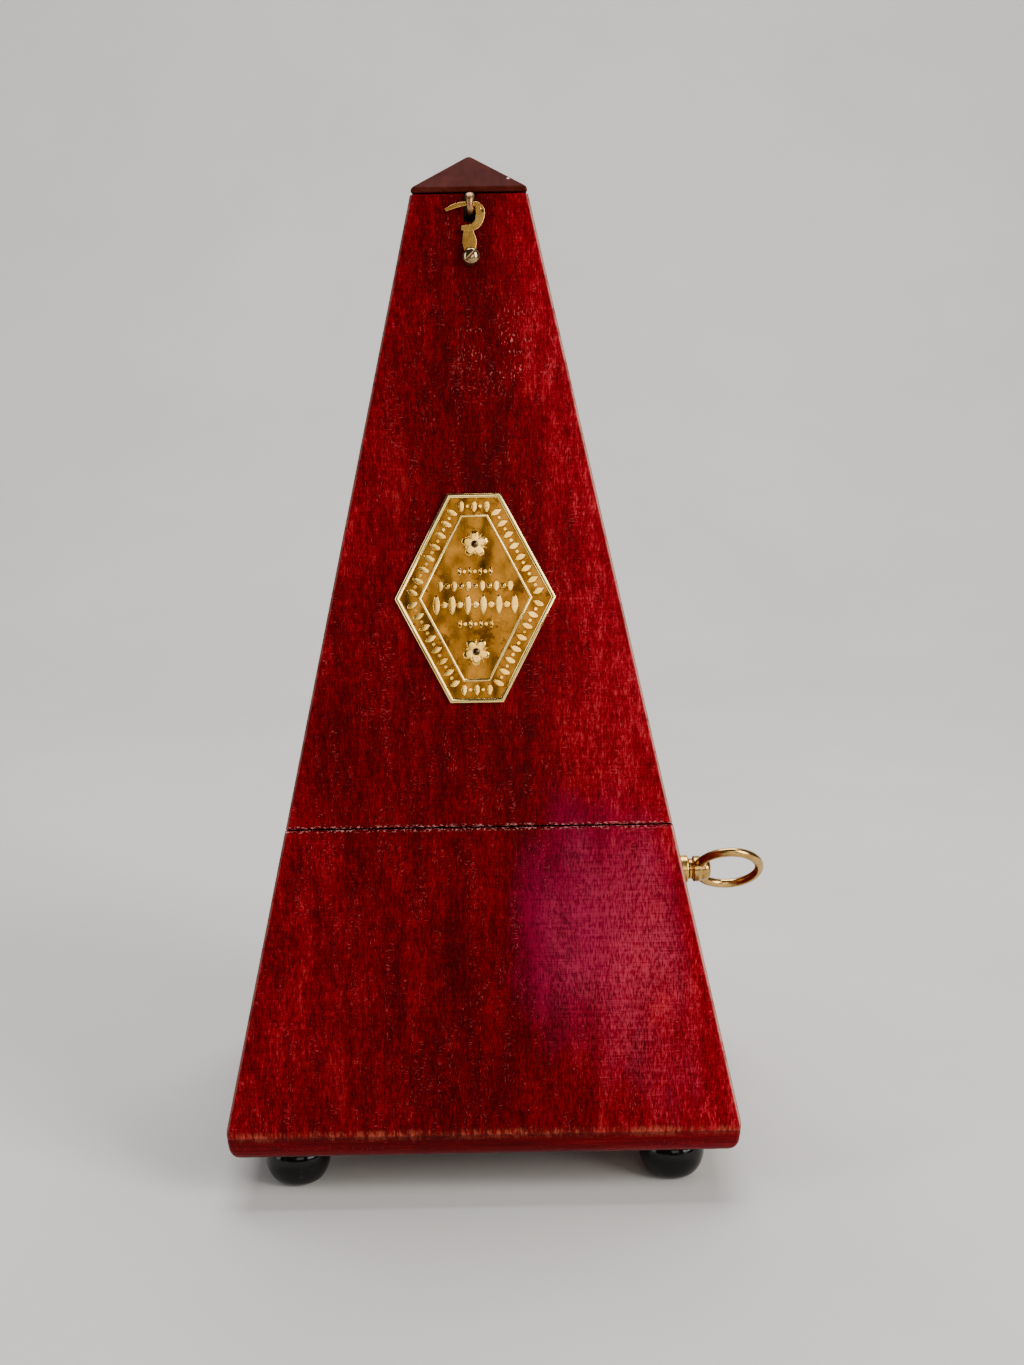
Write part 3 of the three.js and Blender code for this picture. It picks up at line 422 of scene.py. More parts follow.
def metal(name, low, high, roughness, patina=None, spread=0.5, scratches=0.25, scale=420, waves=0.0):
    """Metal in two tones, with patches of patina, and either fine scratches or, in thin sheet, soft waves."""
    s = Shader(name, **{"Metallic": 1.0})
    cloud = s.noise((scale, scale, scale), detail=5, roughness=0.65)
    fine = s.noise((scale * 9, scale * 9, scale * 2), detail=3, shift=3)
    colour = s.ramp(cloud, [(0.35, low), (0.65, high)])
    if patina:
        stain = s.noise((scale * 2.1, scale * 2.1, scale * 2.1), detail=5, roughness=0.7, shift=13)
        tarnish = s.fade(stain, spread - 0.08, spread + 0.12, 0, 0.85)
        colour = s.mix(tarnish, colour, patina)
        s.link("Roughness", s.fade(s.total((tarnish, 1.0), (fine, 0.4)), 0.1, 1.0,
                                   roughness, roughness + 0.32))
    else:
        s.link("Roughness", s.fade(fine, 0.3, 0.7, roughness - 0.06, roughness + 0.1))
    s.link("Base Color", colour)
    if waves:
        # distance that gives slopes of a few degrees
        swell = s.noise((180, 180, 120), detail=1, shift=29)
        s.bump(s.total((swell, 1.0), (fine, 0.02)), waves, 0.00026)
    else:
        s.bump(s.total((cloud, 0.5), (fine, 0.5)), scratches, 0.00002)
    return s.material


def black_gloss(name):
    """Ebonised turned wood: faint turning lines and dust under a hard gloss."""
    s = Shader(name, **{"Specular IOR Level": 0.25})
    lines = s.noise((120, 120, 2600), detail=2)
    dust = s.noise((900, 900, 900), detail=3, shift=8)
    dusty = s.fade(dust, 0.56, 0.74, 0, 0.5)
    s.link("Base Color", s.mix(dusty, (0.003, 0.003, 0.0035), (0.022, 0.020, 0.020)))
    s.link("Roughness", s.fade(dust, 0.35, 0.75, 0.05, 0.22))
    s.bump(lines, 0.12, 0.00005)
    return s.material


def lacquer(name):
    """Cream lacquer on tin, slightly foxed."""
    s = Shader(name, **{"Coat Weight": 0.3, "Coat Roughness": 0.2})
    foxing = s.noise((150, 150, 150), detail=5, roughness=0.7)
    s.link("Base Color", s.ramp(foxing, [(0.35, (0.74, 0.66, 0.46)), (0.6, (0.80, 0.73, 0.55)),
                                         (0.75, (0.56, 0.43, 0.25))]))
    s.link("Roughness", s.fade(foxing, 0.3, 0.7, 0.38, 0.52))
    s.bump(foxing, 0.1, 0.00005)
    return s.material


def ink(name):
    s = Shader(name, **{"Specular IOR Level": 0.3})
    blot = s.noise((900, 900, 900), detail=3)
    s.link("Base Color", s.ramp(blot, [(0.3, (0.010, 0.009, 0.008)), (0.7, (0.035, 0.030, 0.025))]))
    s.link("Roughness", s.fade(blot, 0.3, 0.7, 0.5, 0.7))
    return s.material


LOOKS = {
    "mahogany": mahogany("mahogany_front"),
    "mahogany_back": mahogany("mahogany_back", face="back"),
    "mahogany_side": mahogany("mahogany_side", face="side"),
    "mahogany_base": mahogany("mahogany_base", grain="X", face="base"),
    "cap_wood": cap_wood("cap_wood"),
    "ebonised_wood": black_gloss("ebonised_wood"),
    "inner_wood": plain_wood("inner_wood", (0.13, 0.055, 0.022), (0.33, 0.175, 0.085)),
    "scale_paint": lacquer("scale_paint"),
    "scale_ink": ink("scale_ink"),
    "bright_brass": metal("bright_brass", (0.64, 0.36, 0.07), (0.84, 0.53, 0.14), 0.24,
                          patina=(0.55, 0.30, 0.07), spread=0.64, scratches=0.1),
    "hook_brass": metal("hook_brass", (0.46, 0.23, 0.040), (0.74, 0.42, 0.10), 0.22,
                        patina=(0.30, 0.14, 0.03), spread=0.66, scratches=0.05, scale=220),
    # painted highlight and shade: the rims are paler than the raised ornament to stand in for the light they
    # catch, and the sunk ground is far darker, partly patina in the hollows and partly painted shade
    "plate_rim_painted_highlight": metal("plate_rim_painted_highlight", (0.90, 0.60, 0.16), (1.0, 0.78, 0.32), 0.10, scratches=0.05, scale=260),
    "plate_raised": metal("plate_raised", (0.72, 0.40, 0.06), (1.0, 0.66, 0.18), 0.10,
                          patina=(0.34, 0.16, 0.03), spread=0.62, scratches=0.05, scale=260),
    "plate_ground": metal("plate_ground", (0.15, 0.060, 0.005), (0.34, 0.150, 0.017), 0.17,
                          patina=(0.13, 0.045, 0.007), spread=0.60, scale=130, waves=1.0),
    "pin_bronze": metal("pin_bronze", (0.07, 0.045, 0.02), (0.16, 0.10, 0.045), 0.16, scratches=0.1),
    "aged_brass": metal("aged_brass", (0.44, 0.25, 0.075), (0.70, 0.45, 0.15), 0.17,
                        patina=(0.20, 0.10, 0.030), spread=0.62, scale=200, scratches=0.1),
    "eye_bronze": metal("eye_bronze", (0.30, 0.15, 0.07), (0.52, 0.30, 0.15), 0.34,
                        patina=(0.14, 0.065, 0.038), spread=0.56, scale=900),
    "screw_steel": metal("screw_steel", (0.24, 0.15, 0.07), (0.50, 0.36, 0.20), 0.10,
                         patina=(0.08, 0.05, 0.03), spread=0.62, scratches=0.08),
    "movement_brass": metal("movement_brass", (0.46, 0.29, 0.09), (0.78, 0.56, 0.22), 0.30),
    "steel": metal("steel", (0.30, 0.30, 0.31), (0.56, 0.56, 0.57), 0.22,
                   patina=(0.10, 0.085, 0.075), spread=0.62),
    "lead_bob": metal("lead_bob", (0.075, 0.078, 0.085), (0.17, 0.175, 0.185), 0.55),
}


# ---- Mesh helpers ----------------------------------------------------------------------------
def finished(name, bm, looks, body, stands_for=(), smooth=40.0):
    """Turns a bmesh in metres into a piece that rides on a body, its flats shaded flat."""
    bmesh.ops.recalc_face_normals(bm, faces=bm.faces)
    mesh = bpy.data.meshes.new(name)
    bm.to_mesh(mesh)
    bm.free()
    mesh.shade_smooth()
    mesh.set_sharp_from_angle(angle=math.radians(smooth))
    for look in looks:
        mesh.materials.append(LOOKS[look])
    piece = bpy.data.objects.new(name, mesh)
    bpy.context.scene.collection.objects.link(piece)
    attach(piece, body)
    if stands_for:
        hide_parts(*stands_for)
    weighted = piece.modifiers.new("weighted", "WEIGHTED_NORMAL")
    weighted.keep_sharp = True


def add_loft(bm, rings, matrix, materials=None):
    """A closed skin through rings of the same number of points, capped at both ends."""
    made = [[bm.verts.new(matrix @ Vector(p)) for p in ring] for ring in rings]
    count = len(made[0])
    for level, (low, high) in enumerate(zip(made, made[1:])):
        for i in range(count):
            j = (i + 1) % count
            face = bm.faces.new((low[i], low[j], high[j], high[i]))
            if materials:
                face.material_index = materials[level]
    for ring, level in ((made[0], 0), (made[-1], -1)):
        cap = bm.faces.new(ring)
        if materials:
            cap.material_index = materials[level]


def ellipse(half_width, half_height, count=14):
    return [(half_width * math.cos(2 * math.pi * i / count), half_height * math.sin(2 * math.pi * i / count))
            for i in range(count)]


def circle(radius, height, count):
    return [(x, y, height) for x, y in ellipse(radius, radius, count)]


def rounded(profile, steps=6):
    """A Catmull-Rom curve through pairs, which passes through each of them."""
    points = [profile[0], *profile, profile[-1]]
    curve = []
    for a, b, c, d in zip(points, points[1:], points[2:], points[3:]):
        for i in range(steps):
            t = i / steps
            curve.append(tuple(0.5 * (2 * b[k] + (c[k] - a[k]) * t
                                      + (2 * a[k] - 5 * b[k] + 4 * c[k] - d[k]) * t * t
                                      + (3 * b[k] - a[k] - 3 * c[k] + d[k]) * t ** 3) for k in (0, 1)))
    return [*curve, profile[-1]]


def add_turned(bm, profile, matrix, count=48):
    """A turned solid from pairs of radius and height."""
    add_loft(bm, [circle(max(r, 0.02), h, count) for r, h in profile], matrix)


def add_torus(bm, major, minor, matrix, around, section):
    rings = []
    for i in range(around):
        angle = 2 * math.pi * i / around
        along_ring = Vector((math.cos(angle), math.sin(angle), 0))
        ring = [bm.verts.new(matrix @ (along_ring * (major + minor * math.cos(2 * math.pi * k / section))
                                       + Vector((0, 0, minor * math.sin(2 * math.pi * k / section)))))
                for k in range(section)]
        rings.append(ring)
    for i, ring in enumerate(rings):
        following = rings[(i + 1) % around]
        for k in range(section):
            m = (k + 1) % section
            bm.faces.new((ring[k], ring[m], following[m], following[k]))


def scratch_object(bm):
    """An object for modifiers to work on, removed afterwards."""
    bmesh.ops.recalc_face_normals(bm, faces=bm.faces)
    mesh = bpy.data.meshes.new("scratch")
    bm.to_mesh(mesh)
    bm.free()
    made = bpy.data.objects.new("scratch", mesh)
    bpy.context.scene.collection.objects.link(made)
    return made


def combined(first, others, operation, remesh=None, relax=0):
    """One bmesh from closed bmeshes joined or cut with each other, optionally remeshed to blend joints."""
    base = scratch_object(first)
    tools = [scratch_object(other) for other in others]
    for tool in tools:
        modifier = base.modifiers.new("boolean", "BOOLEAN")
        modifier.operation = operation
        modifier.object = tool
        modifier.solver = "EXACT"
    if remesh:
        modifier = base.modifiers.new("remesh", "REMESH")
        modifier.mode = "VOXEL"
        modifier.voxel_size = remesh
        modifier = base.modifiers.new("relax", "SMOOTH")
        modifier.iterations = relax
        modifier.factor = 0.5
    graph = bpy.context.evaluated_depsgraph_get()
    graph.update()
    result = bmesh.new()
    result.from_mesh(base.evaluated_get(graph).to_mesh())
    for scrap in [base, *tools]:
        bpy.data.objects.remove(scrap)
    return result


def on_arris(vertex):
    """True for a point on one of the case's four sloping corner edges."""
    x, y, z = vertex.co / MM
    return max(abs(abs(x) - half(z)), abs(abs(y) - half(z))) < 0.05


def at_foot(edge):
    """True for an edge where the panels stand on the base board."""
    return all(abs(v.co.z / MM - WIDE_Z) < 0.02 for v in edge.verts)


def refined(node, look, bevel, arris=None, segments=3, reshape=None, finish=None):
    """A CAD node's own shape with clean faces and rounded edges. arris is the radius on the case's corners.
    reshape works on it before its edges are rounded, and finish after."""
    bm = bmesh.new()
    bm.from_mesh(frame["nodes"][node].data)
    bmesh.ops.remove_doubles(bm, verts=bm.verts, dist=1e-6)
    bmesh.ops.dissolve_limit(bm, angle_limit=math.radians(1), verts=bm.verts, edges=bm.edges)
    if reshape:
        reshape(bm)

    def round_edges(chosen, radius):
        edges = [e for e in bm.edges if len(e.link_faces) == 2
                 and e.calc_face_angle(0) > math.radians(25) and chosen(e) and not at_foot(e)]
        if edges:
            bmesh.ops.bevel(bm, geom=edges, offset=radius * MM, segments=segments, profile=0.5,
                            affect="EDGES", clamp_overlap=True)

    if arris:
        round_edges(lambda e: all(on_arris(v) for v in e.verts), arris)
    round_edges(lambda e: True, bevel)
    if finish:
        finish(bm)
    finished(f"{node}_detailed", bm, [look], BODY_OF[node], [node], smooth=50)


def polished(node, look, bevel=0.0):
    """Keeps a CAD node, with a finished material and, where it shows, softened edges."""
    piece = frame["nodes"][node]
    piece.data.materials.clear()
    piece.data.materials.append(LOOKS[look])
    if bevel:
        modifier = piece.modifiers.new("edges", "BEVEL")
        modifier.width = bevel * MM
        modifier.segments = 2
        modifier.angle_limit = math.radians(35)


# ---- Case ------------------------------------------------------------------------------------
def rounded_square(half_width, radius, z, steps=5):
    points = []
    for corner in range(4):
        start = corner * math.pi / 2
        centre = Matrix.Rotation(start, 2) @ Vector([half_width - radius] * 2)
        for i in range(steps + 1):
            angle = start + i / steps * math.pi / 2
            points.append((centre.x + radius * math.cos(angle), centre.y + radius * math.sin(angle), z))
    return points


NOSE_RISE, NOSE_DEPTH = 2.6, 0.5  # how the panels' outer faces curve in above the base board
SEAM_HALF_GAP = 0.12


def round_nose(bm):
    """Curves a panel's outer face in towards the base board."""
    for rise in (0.4, 0.8, 1.3, 1.9, NOSE_RISE):
        bmesh.ops.bisect_plane(bm, geom=[*bm.verts, *bm.edges, *bm.faces], plane_no=(0, 0, 1),
                               plane_co=(0, 0, (WIDE_Z + rise) * MM))
    for vertex in bm.verts:
        above = vertex.co.z / MM - WIDE_Z
        widest = max(abs(vertex.co.x), abs(vertex.co.y)) / MM
        if above < NOSE_RISE and widest > half(vertex.co.z / MM) - 1.5:
            inward = NOSE_DEPTH * ((NOSE_RISE - above) / NOSE_RISE) ** 2
            vertex.co.x *= 1 - inward / widest
            vertex.co.y *= 1 - inward / widest


def shift_seam(edge_up, new_up):
    """Moves a panel's edge at the seam along the slope, for a finer seam."""
    def reshape(bm):
        for vertex in bm.verts:
            local = FACE.inverted() @ vertex.co
            if abs(local.y - edge_up) < 0.03:
                vertex.co = FACE @ Vector((local.x, new_up, local.z))
    return reshape


def add_base_board():
    """The board under the case, its edge drawn in under a soft nose."""
    low, _ = box_mm("base_board")
    under = -low.x - 2.0
    top = WIDE_HALF - NOSE_DEPTH
    levels = [(under - 0.9, low.z), (under - 0.2, low.z + 0.12), (under + 0.35, low.z + 0.5),
              (under + 0.85, low.z + 1.2), (under + 1.25, low.z + 2.2), (top - 0.16, low.z + 3.4),
              (top - 0.03, low.z + 4.4), (top, WIDE_Z)]
    bm = bmesh.new()
    add_loft(bm, [rounded_square(w, 0.9, z) for w, z in levels], WORLD)
    finished("base_board_moulded", bm, ["mahogany_base"], "case", ["base_board"])


def add_feet():
    """Four turned bun feet, each a bowl that narrows to a small flat."""
    outline = [(3.4, 0), (3.8, 0.05), *rounded([(4.3, 0.2), (5.5, 0.95), (6.5, 2.3), (7.2, 4.1), (7.45, 5.9),
                                                (7.15, 7.7), (6.4, 9.0), (5.2, 9.95), (4.6, 10.25)])]
    for node in [n for n in frame["nodes"] if n.startswith("foot_")]:
        low, high = box_mm(node)
        scale = (high.z - low.z) / outline[-1][1]
        centre = (low + high) / 2 * MM
        place = Matrix.Translation((centre.x, centre.y, low.z * MM)) @ Matrix.Scale(MM, 4)
        bm = bmesh.new()
        add_turned(bm, [(r, h * scale) for r, h in outline], place, count=64)
        finished(f"{node}_turned", bm, ["ebonised_wood"], "case", [node])


def add_case():
    add_base_board()
    add_feet()
    refined("front_lower_panel", "mahogany", 0.12, arris=0.9, finish=round_nose,
            reshape=shift_seam(-0.3, -SEAM_HALF_GAP))
    refined("door_panel", "mahogany", 0.12, arris=0.9, reshape=shift_seam(0.25, SEAM_HALF_GAP))
    refined("back_panel", "mahogany_back", 0.2, arris=0.9, finish=round_nose)
    for side in ("left", "right"):
        refined(f"side_panel_{side}", "mahogany_side", 0.15, finish=round_nose)
        refined(f"door_tongue_{side}", "inner_wood", 0.3)
        polished(f"movement_bearer_{side}", "inner_wood")
    refined("cap", "cap_wood", 0.45, segments=5)
    polished("top_block", "inner_wood")
    refined("front_board", "inner_wood", 0.3)


# ---- Name plate ------------------------------------------------------------------------------
PLATE_LOW, PLATE_HIGH = on_face("name_plate")
PLATE_CENTRE = (PLATE_LOW + PLATE_HIGH) / 2
PLATE_HALF = (PLATE_HIGH.x - PLATE_LOW.x) / 2
PLATE_RISE = (PLATE_HIGH.y - PLATE_LOW.y) / 2
END_SHARE = 0.329  # the plate's width at its top and bottom, as a share of its width in the middle
PLATE_END = PLATE_HALF * END_SHARE
PLATE = FACE @ Matrix.Translation((0, PLATE_CENTRE.y, PLATE_LOW.z))
BAND_HEIGHT, FIELD_HEIGHT = 0.36, 0.32
RIM_WIDTH, INNER_RIM_WIDTH, INNER_RIM_INSET = 1.15, 0.7, 4.75
BAND_PITCH = 1.42


def hexagon(inset, height):
    """The plate's outline moved inwards by an even distance."""
    run = math.hypot(PLATE_HALF - PLATE_END, PLATE_RISE)
    half_width = PLATE_HALF - inset * run / PLATE_RISE
    rise = PLATE_RISE - inset
    end = half_width - rise * (PLATE_HALF - PLATE_END) / PLATE_RISE
    return [(half_width, 0, height), (end, rise, height), (-end, rise, height),
            (-half_width, 0, height), (-end, -rise, height), (end, -rise, height)]


def add_plate():
    """A stamped sheet: rounded outer rim, sunk band, inner rim and sunk field."""
    raised, ground = 0, 1  # places in the list of looks
    steps = [(0, 0, raised)]
    for i in range(9):
        angle = i / 8 * math.pi
        steps.append((RIM_WIDTH / 2 * (1 - math.cos(angle)), BAND_HEIGHT + 0.55 * math.sin(angle), raised))
    steps[-1] = (RIM_WIDTH, BAND_HEIGHT, ground)
    for i in range(7):
        angle = i / 6 * math.pi
        steps.append((INNER_RIM_INSET + INNER_RIM_WIDTH / 2 * (1 - math.cos(angle)),
                      FIELD_HEIGHT + 0.04 + 0.48 * math.sin(angle), raised))
    steps[-1] = (INNER_RIM_INSET + INNER_RIM_WIDTH, FIELD_HEIGHT, ground)
    bm = bmesh.new()
    rings = [hexagon(inset, height) for inset, height, _ in steps]
    add_loft(bm, rings, PLATE, [look for _, _, look in steps])
    finished("name_plate_stamped", bm, ["plate_rim_painted_highlight", "plate_ground"], "door",
             ["name_plate"], smooth=50)


def add_boss(bm, outline, centre, turn, base, height, steps=5):
    """A raised, domed stamping on the plate from a flat outline."""
    place = PLATE @ Matrix.Translation((*centre, 0)) @ Matrix.Rotation(turn, 4, "Z")
    rings = [[(x, y, base - 0.15) for x, y in outline]]
    for i in range(steps):
        angle = i / steps * math.pi / 2
        shrink = 0.62 + 0.38 * math.cos(angle)
        rings.append([(x * shrink, y * shrink, base + height * math.sin(angle)) for x, y in outline])
    add_loft(bm, rings, place)


def leaf(half_width, half_height, count=16):
    """A pointed oval."""
    points = []
    for i in range(count):
        angle = 2 * math.pi * i / count
        points.append((half_width * math.sin(angle) * abs(math.sin(angle)) ** 0.35,
                       half_height * math.cos(angle)))
    return points


def add_band_ornament(bm):
    """Leaves and beads in turn, standing across the sunk band on each of its six sides."""
    corners = hexagon((RIM_WIDTH + INNER_RIM_INSET) / 2, 0)
    for start, end in zip(corners, corners[1:] + corners[:1]):
        start, end = Vector(start[:2]), Vector(end[:2])
        run = end - start
        turn = math.atan2(run.y, run.x)
        count = max(5, round((run.length - 1.6) / BAND_PITCH))
        count += 1 - count % 2  # an odd number, so that a leaf stands at each end
        for i in range(count):
            share = (i - (count - 1) / 2) * BAND_PITCH / run.length + 0.5
            at = start + run * share
            if i % 2 == 0:
                add_boss(bm, leaf(0.74, 1.40), at, turn, BAND_HEIGHT, 0.46)
            else:
                add_boss(bm, ellipse(0.46, 0.46, 12), at, turn, BAND_HEIGHT, 0.40)


def petal(length, width, count=18):
    """A rounded petal with a shallow notch at its tip, rooted at the origin."""
    points = []
    for i in range(count):
        angle = 2 * math.pi * i / count
        notch = 1 - 0.16 * math.exp(-min(angle, 2 * math.pi - angle) ** 2 / 0.12)
        points.append((width * math.sin(angle), length * (0.55 + 0.45 * math.cos(angle) * notch)))
    return points


def add_rosettes(bm):
    """A five-petalled flower round each pin, with a narrow leaf between each two petals."""
    leaf_turn, leaf_distance = 0.63, 2.0
    for side in (1, -1):
        pin_low, pin_high = on_face("plate_pin_top" if side > 0 else "plate_pin_bottom")
        centre_up = (pin_low.y + pin_high.y) / 2 - PLATE_CENTRE.y
        for i in range(5):
            turn = i * 2 * math.pi / 5 + (0 if side > 0 else math.pi)
            add_boss(bm, petal(3.3, 1.02), (0, centre_up), turn, FIELD_HEIGHT, 0.44)
            between = turn + leaf_turn
            at = (-math.sin(between) * leaf_distance, centre_up + math.cos(between) * leaf_distance)
            add_boss(bm, leaf(0.22, 1.0), at, between, FIELD_HEIGHT, 0.26)
        add_boss(bm, ellipse(1.15, 1.15, 20), (0, centre_up), 0, FIELD_HEIGHT, 0.30)


def add_field_ornament(bm):
    """Rows of small leaves and beads between the flowers, the middle row the tallest."""
    rows = [(5.9, 7, 0.52, 1.05, 1.16), (2.7, 11, 0.72, 1.35, 1.56), (-1.5, 11, 0.88, 2.35, 1.74),
            (-5.8, 7, 0.52, 1.05, 1.16)]
    for height, count, half_width, half_height, pitch in rows:
        for i in range(count):
            at = ((i - (count - 1) / 2) * pitch, height)
            if i % 2 == 0:
                add_boss(bm, leaf(half_width, half_height), at, 0, FIELD_HEIGHT, 0.42)
            else:
                size = half_width * 0.95
                add_boss(bm, ellipse(size, size), at, 0, FIELD_HEIGHT, 0.36)


def add_plate_ornament():
    for name, build in (("plate_band", add_band_ornament), ("plate_rosettes", add_rosettes),
                        ("plate_field", add_field_ornament)):
        bm = bmesh.new()
        build(bm)
        finished(name, bm, ["plate_raised"], "door")
    for node in ("plate_pin_top", "plate_pin_bottom"):
        low, high = on_face(node)
        centre = (low + high) / 2
        radius = (high.x - low.x) / 2
        head = PLATE_LOW.z + FIELD_HEIGHT + 0.32
        bm = bmesh.new()
        dome = [(0.5, low.z), (0.5, head), (radius * 0.9, head), (radius * 0.9, head + 0.1),
                (radius * 0.7, head + 0.28), (radius * 0.3, head + 0.36), (0, head + 0.38)]
        add_turned(bm, dome, FACE @ Matrix.Translation((centre.x, centre.y, 0)), count=24)
        finished(f"{node}_riveted", bm, ["pin_bronze"], "door", [node])


# ---- Latch -----------------------------------------------------------------------------------
HOOK_LOW, HOOK_HIGH = on_face("latch_hook")
HOOK_PIVOT = FACE.inverted() @ Vector(JOINTS["latch_turn"]["pos_m"])
EYE_LOW, EYE_HIGH = on_face("latch_eye")
EYE_CENTRE_UP = EYE_LOW.y + 2.5


def strip_rings(stations, edges, steps=7):
    """The rings of a flat strip from its centre line and half-widths, and from pairs of inset and height."""
    centres = rounded([(x, y) for x, y, _ in stations], steps)
    widths = [w for w, _ in rounded([(w, 0) for _, _, w in stations], steps)]
    rings = []
    for inset, height in edges:
        left, right = [], []
        for i, ((x, y), w) in enumerate(zip(centres, widths)):
            before, after = centres[max(i - 1, 0)], centres[min(i + 1, len(centres) - 1)]
            run = Vector((after[0] - before[0], after[1] - before[1])).normalized()
            reach = w - inset
            # the ends draw in as far as the sides do
            slide = inset if i == 0 else -inset if i == len(centres) - 1 else 0
            x0, y0 = x + run.x * slide, y + run.y * slide
            left.append((x0 - run.y * reach, y0 + run.x * reach, height))
            right.append((x0 + run.y * reach, y0 - run.x * reach, height))
        rings.append([*right, *reversed(left)])
    return rings


def add_hook():
    """A shank up from the screw, and a strip that bends round the eye's side and passes through it."""
    radius = EYE_CENTRE_UP - HOOK_PIVOT.y - 0.05  # the tip follows the circle that it turns on

    def on_tip(degrees, half_width):
        angle = math.radians(degrees)
        return (-radius * math.sin(angle), radius * math.cos(angle), half_width)

    place = FACE @ Matrix.Translation((HOOK_PIVOT.x, HOOK_PIVOT.y, 0))
    back, front = HOOK_LOW.z, HOOK_HIGH.z
    lower = front - 0.09  # the shank stands back from the bend
    shank_line = [(0, 0, 1.9), (-0.2, 1.7, 1.40), (-0.3, 3.4, 1.66), (-0.45, 5.4, 1.25), (-0.45, 6.5, 1.1)]
    bend = bmesh.new()
    bend_line = [(-2.1, 6.5, 0.55), (-0.8, 6.45, 0.75), (0.4, 6.6, 0.85), (1.4, 7.3, 0.95), (2, 8.4, 1),
                 (2.2, 9.6, 1.05), (2.1, 10.7, 1.05), (1.55, 11.55, 0.75), on_tip(-3, 0.55),
                 on_tip(6, 0.5), on_tip(16, 0.58), on_tip(28, 0.4)]
    add_loft(bend, strip_rings(bend_line, [(0.12, back), (0.03, back + 0.05), (0, back + 0.14),
                                           (0, front - 0.22), (0.06, front - 0.08), (0.18, front)]), place)
    dent = bmesh.new()
    hollow = place @ Matrix.Translation((2.5, 10.7, front)) @ Matrix.Rotation(math.radians(25), 4, "Z")
    add_loft(dent, [[(0.42 * x, 0.85 * y, z) for x, y, z in circle(r, h, 20)]
                    for r, h in ((0.5, -0.5), (0.85, -0.35), (1, 0.0), (1, 0.3))], hollow)
    hook = combined(bend, [dent], "DIFFERENCE")
    add_loft(hook, strip_rings(shank_line, [(0.1, back + 0.02), (0, back + 0.12), (0, lower - 0.2),
                                            (0.06, lower - 0.07), (0.18, lower)]), place)
    add_turned(hook, [(1.85, back + 0.01), (2.0, back + 0.15), (2.0, lower - 0.2), (1.85, lower - 0.02)],
               place)
    finished("latch_hook_bent", hook, ["hook_brass"], "latch", ["latch_hook"])


def add_latch_screw():
    """A domed, slotted screw head, its slot at 45 degrees."""
    low, high = on_face("latch_screw")
    radius = (high.x - low.x) / 2
    base = HOOK_HIGH.z + 0.08
    top = high.z
    place = FACE @ Matrix.Translation(((low.x + high.x) / 2, (low.y + high.y) / 2, 0))
    head = bmesh.new()
    dome = [(0.8, low.z), (0.8, base), (radius * 0.93, base), (radius, base + 0.12)]
    for i in range(1, 10):
        angle = i / 10 * math.pi / 2
        dome.append((radius * math.cos(angle) ** 0.85, base + 0.12 + (top - base - 0.12) * math.sin(angle)))
    dome.append((0, top))
    add_turned(head, dome, place, count=56)
    slot = bmesh.new()
    turned_slot = place @ Matrix.Rotation(math.radians(45), 4, "Z")
    add_loft(slot, [[(x, y, z) for x, y in ((3, -0.3), (3, 0.3), (-3, 0.3), (-3, -0.3))]
                    for z in (top - 0.62, top + 1)], turned_slot)
    finished("latch_screw_slotted", combined(head, [slot], "DIFFERENCE"), ["screw_steel"], "door",
             ["latch_screw"], smooth=32)


def add_eye():
    """A screw eye seen edge-on: a ring of wire with a flattened crown, on a shank into the top block."""
    wire = (EYE_HIGH.x - EYE_LOW.x) / 2
    ring_front = EYE_HIGH.z
    centre_x = (EYE_HIGH.x + EYE_LOW.x) / 2
    major = (EYE_HIGH.y - EYE_LOW.y) / 2 - wire
    place = FACE @ Matrix.Translation((centre_x, EYE_CENTRE_UP, ring_front - major - wire))
    ring = bmesh.new()
    add_torus(ring, major, wire, place @ Matrix.Rotation(math.pi / 2, 4, "Y"), 64, 24)
    for vertex in ring.verts:
        local = place.inverted() @ vertex.co
        swell = 1 + 0.5 * max(0.0, min(1.0, (local.y + 0.6) / 2.2)) ** 1.5
        vertex.co = place @ Vector((local.x * swell, local.y, local.z))
    shank = bmesh.new()
    back = EYE_LOW.z - (ring_front - major - wire)
    add_turned(shank, [(wire * 0.95, back), (wire * 0.95, -major - 0.1), (wire * 1.15, -major + 0.1),
                       (wire * 0.9, -major + 0.4)], place, 32)
    finished("latch_eye_bent", combined(ring, [shank], "UNION"), ["eye_bronze"], "case",
             ["latch_eye"])


# ---- Winding key -----------------------------------------------------------------------------
def add_key():
    """A cast ring handle running into a turned collar and neck."""
    low, high = box_mm("winding_key")
    hub = bmesh.new()
    neck = [(2.3, -0.42), (2.5, -0.36), (2.42, 0.1), (2.4, 0.4), (2.62, 0.5), (3.0, 0.6)]
    collar = [(3.1, 0.75), (3.1, 2.1), (3.02, 2.28), (2.8, 2.42)]
    crown = rounded([(2.78, 2.55), (2.78, 3.3), (2.6, 4.0), (2.2, 4.5), (1.5, 4.82)], 4)
    outline = [*neck, *collar, *crown, (0, 4.9)]
    add_turned(hub, [(r, low.x + h) for r, h in outline], KEY, 64)
    ring = bmesh.new()
    wire, radius, tilt = 1.08, 7.45, math.radians(-45.8)
    centre = Matrix.Translation((high.x - radius - wire, 0, 0)) @ Matrix.Rotation(tilt, 4, "X")
    add_torus(ring, radius, wire, KEY_LEVEL @ centre, 120, 28)
    key = combined(hub, [ring], "UNION", remesh=0.12 * MM, relax=5)
    finished("winding_key_cast", key, ["aged_brass"], "winding", ["winding_key"], smooth=180)


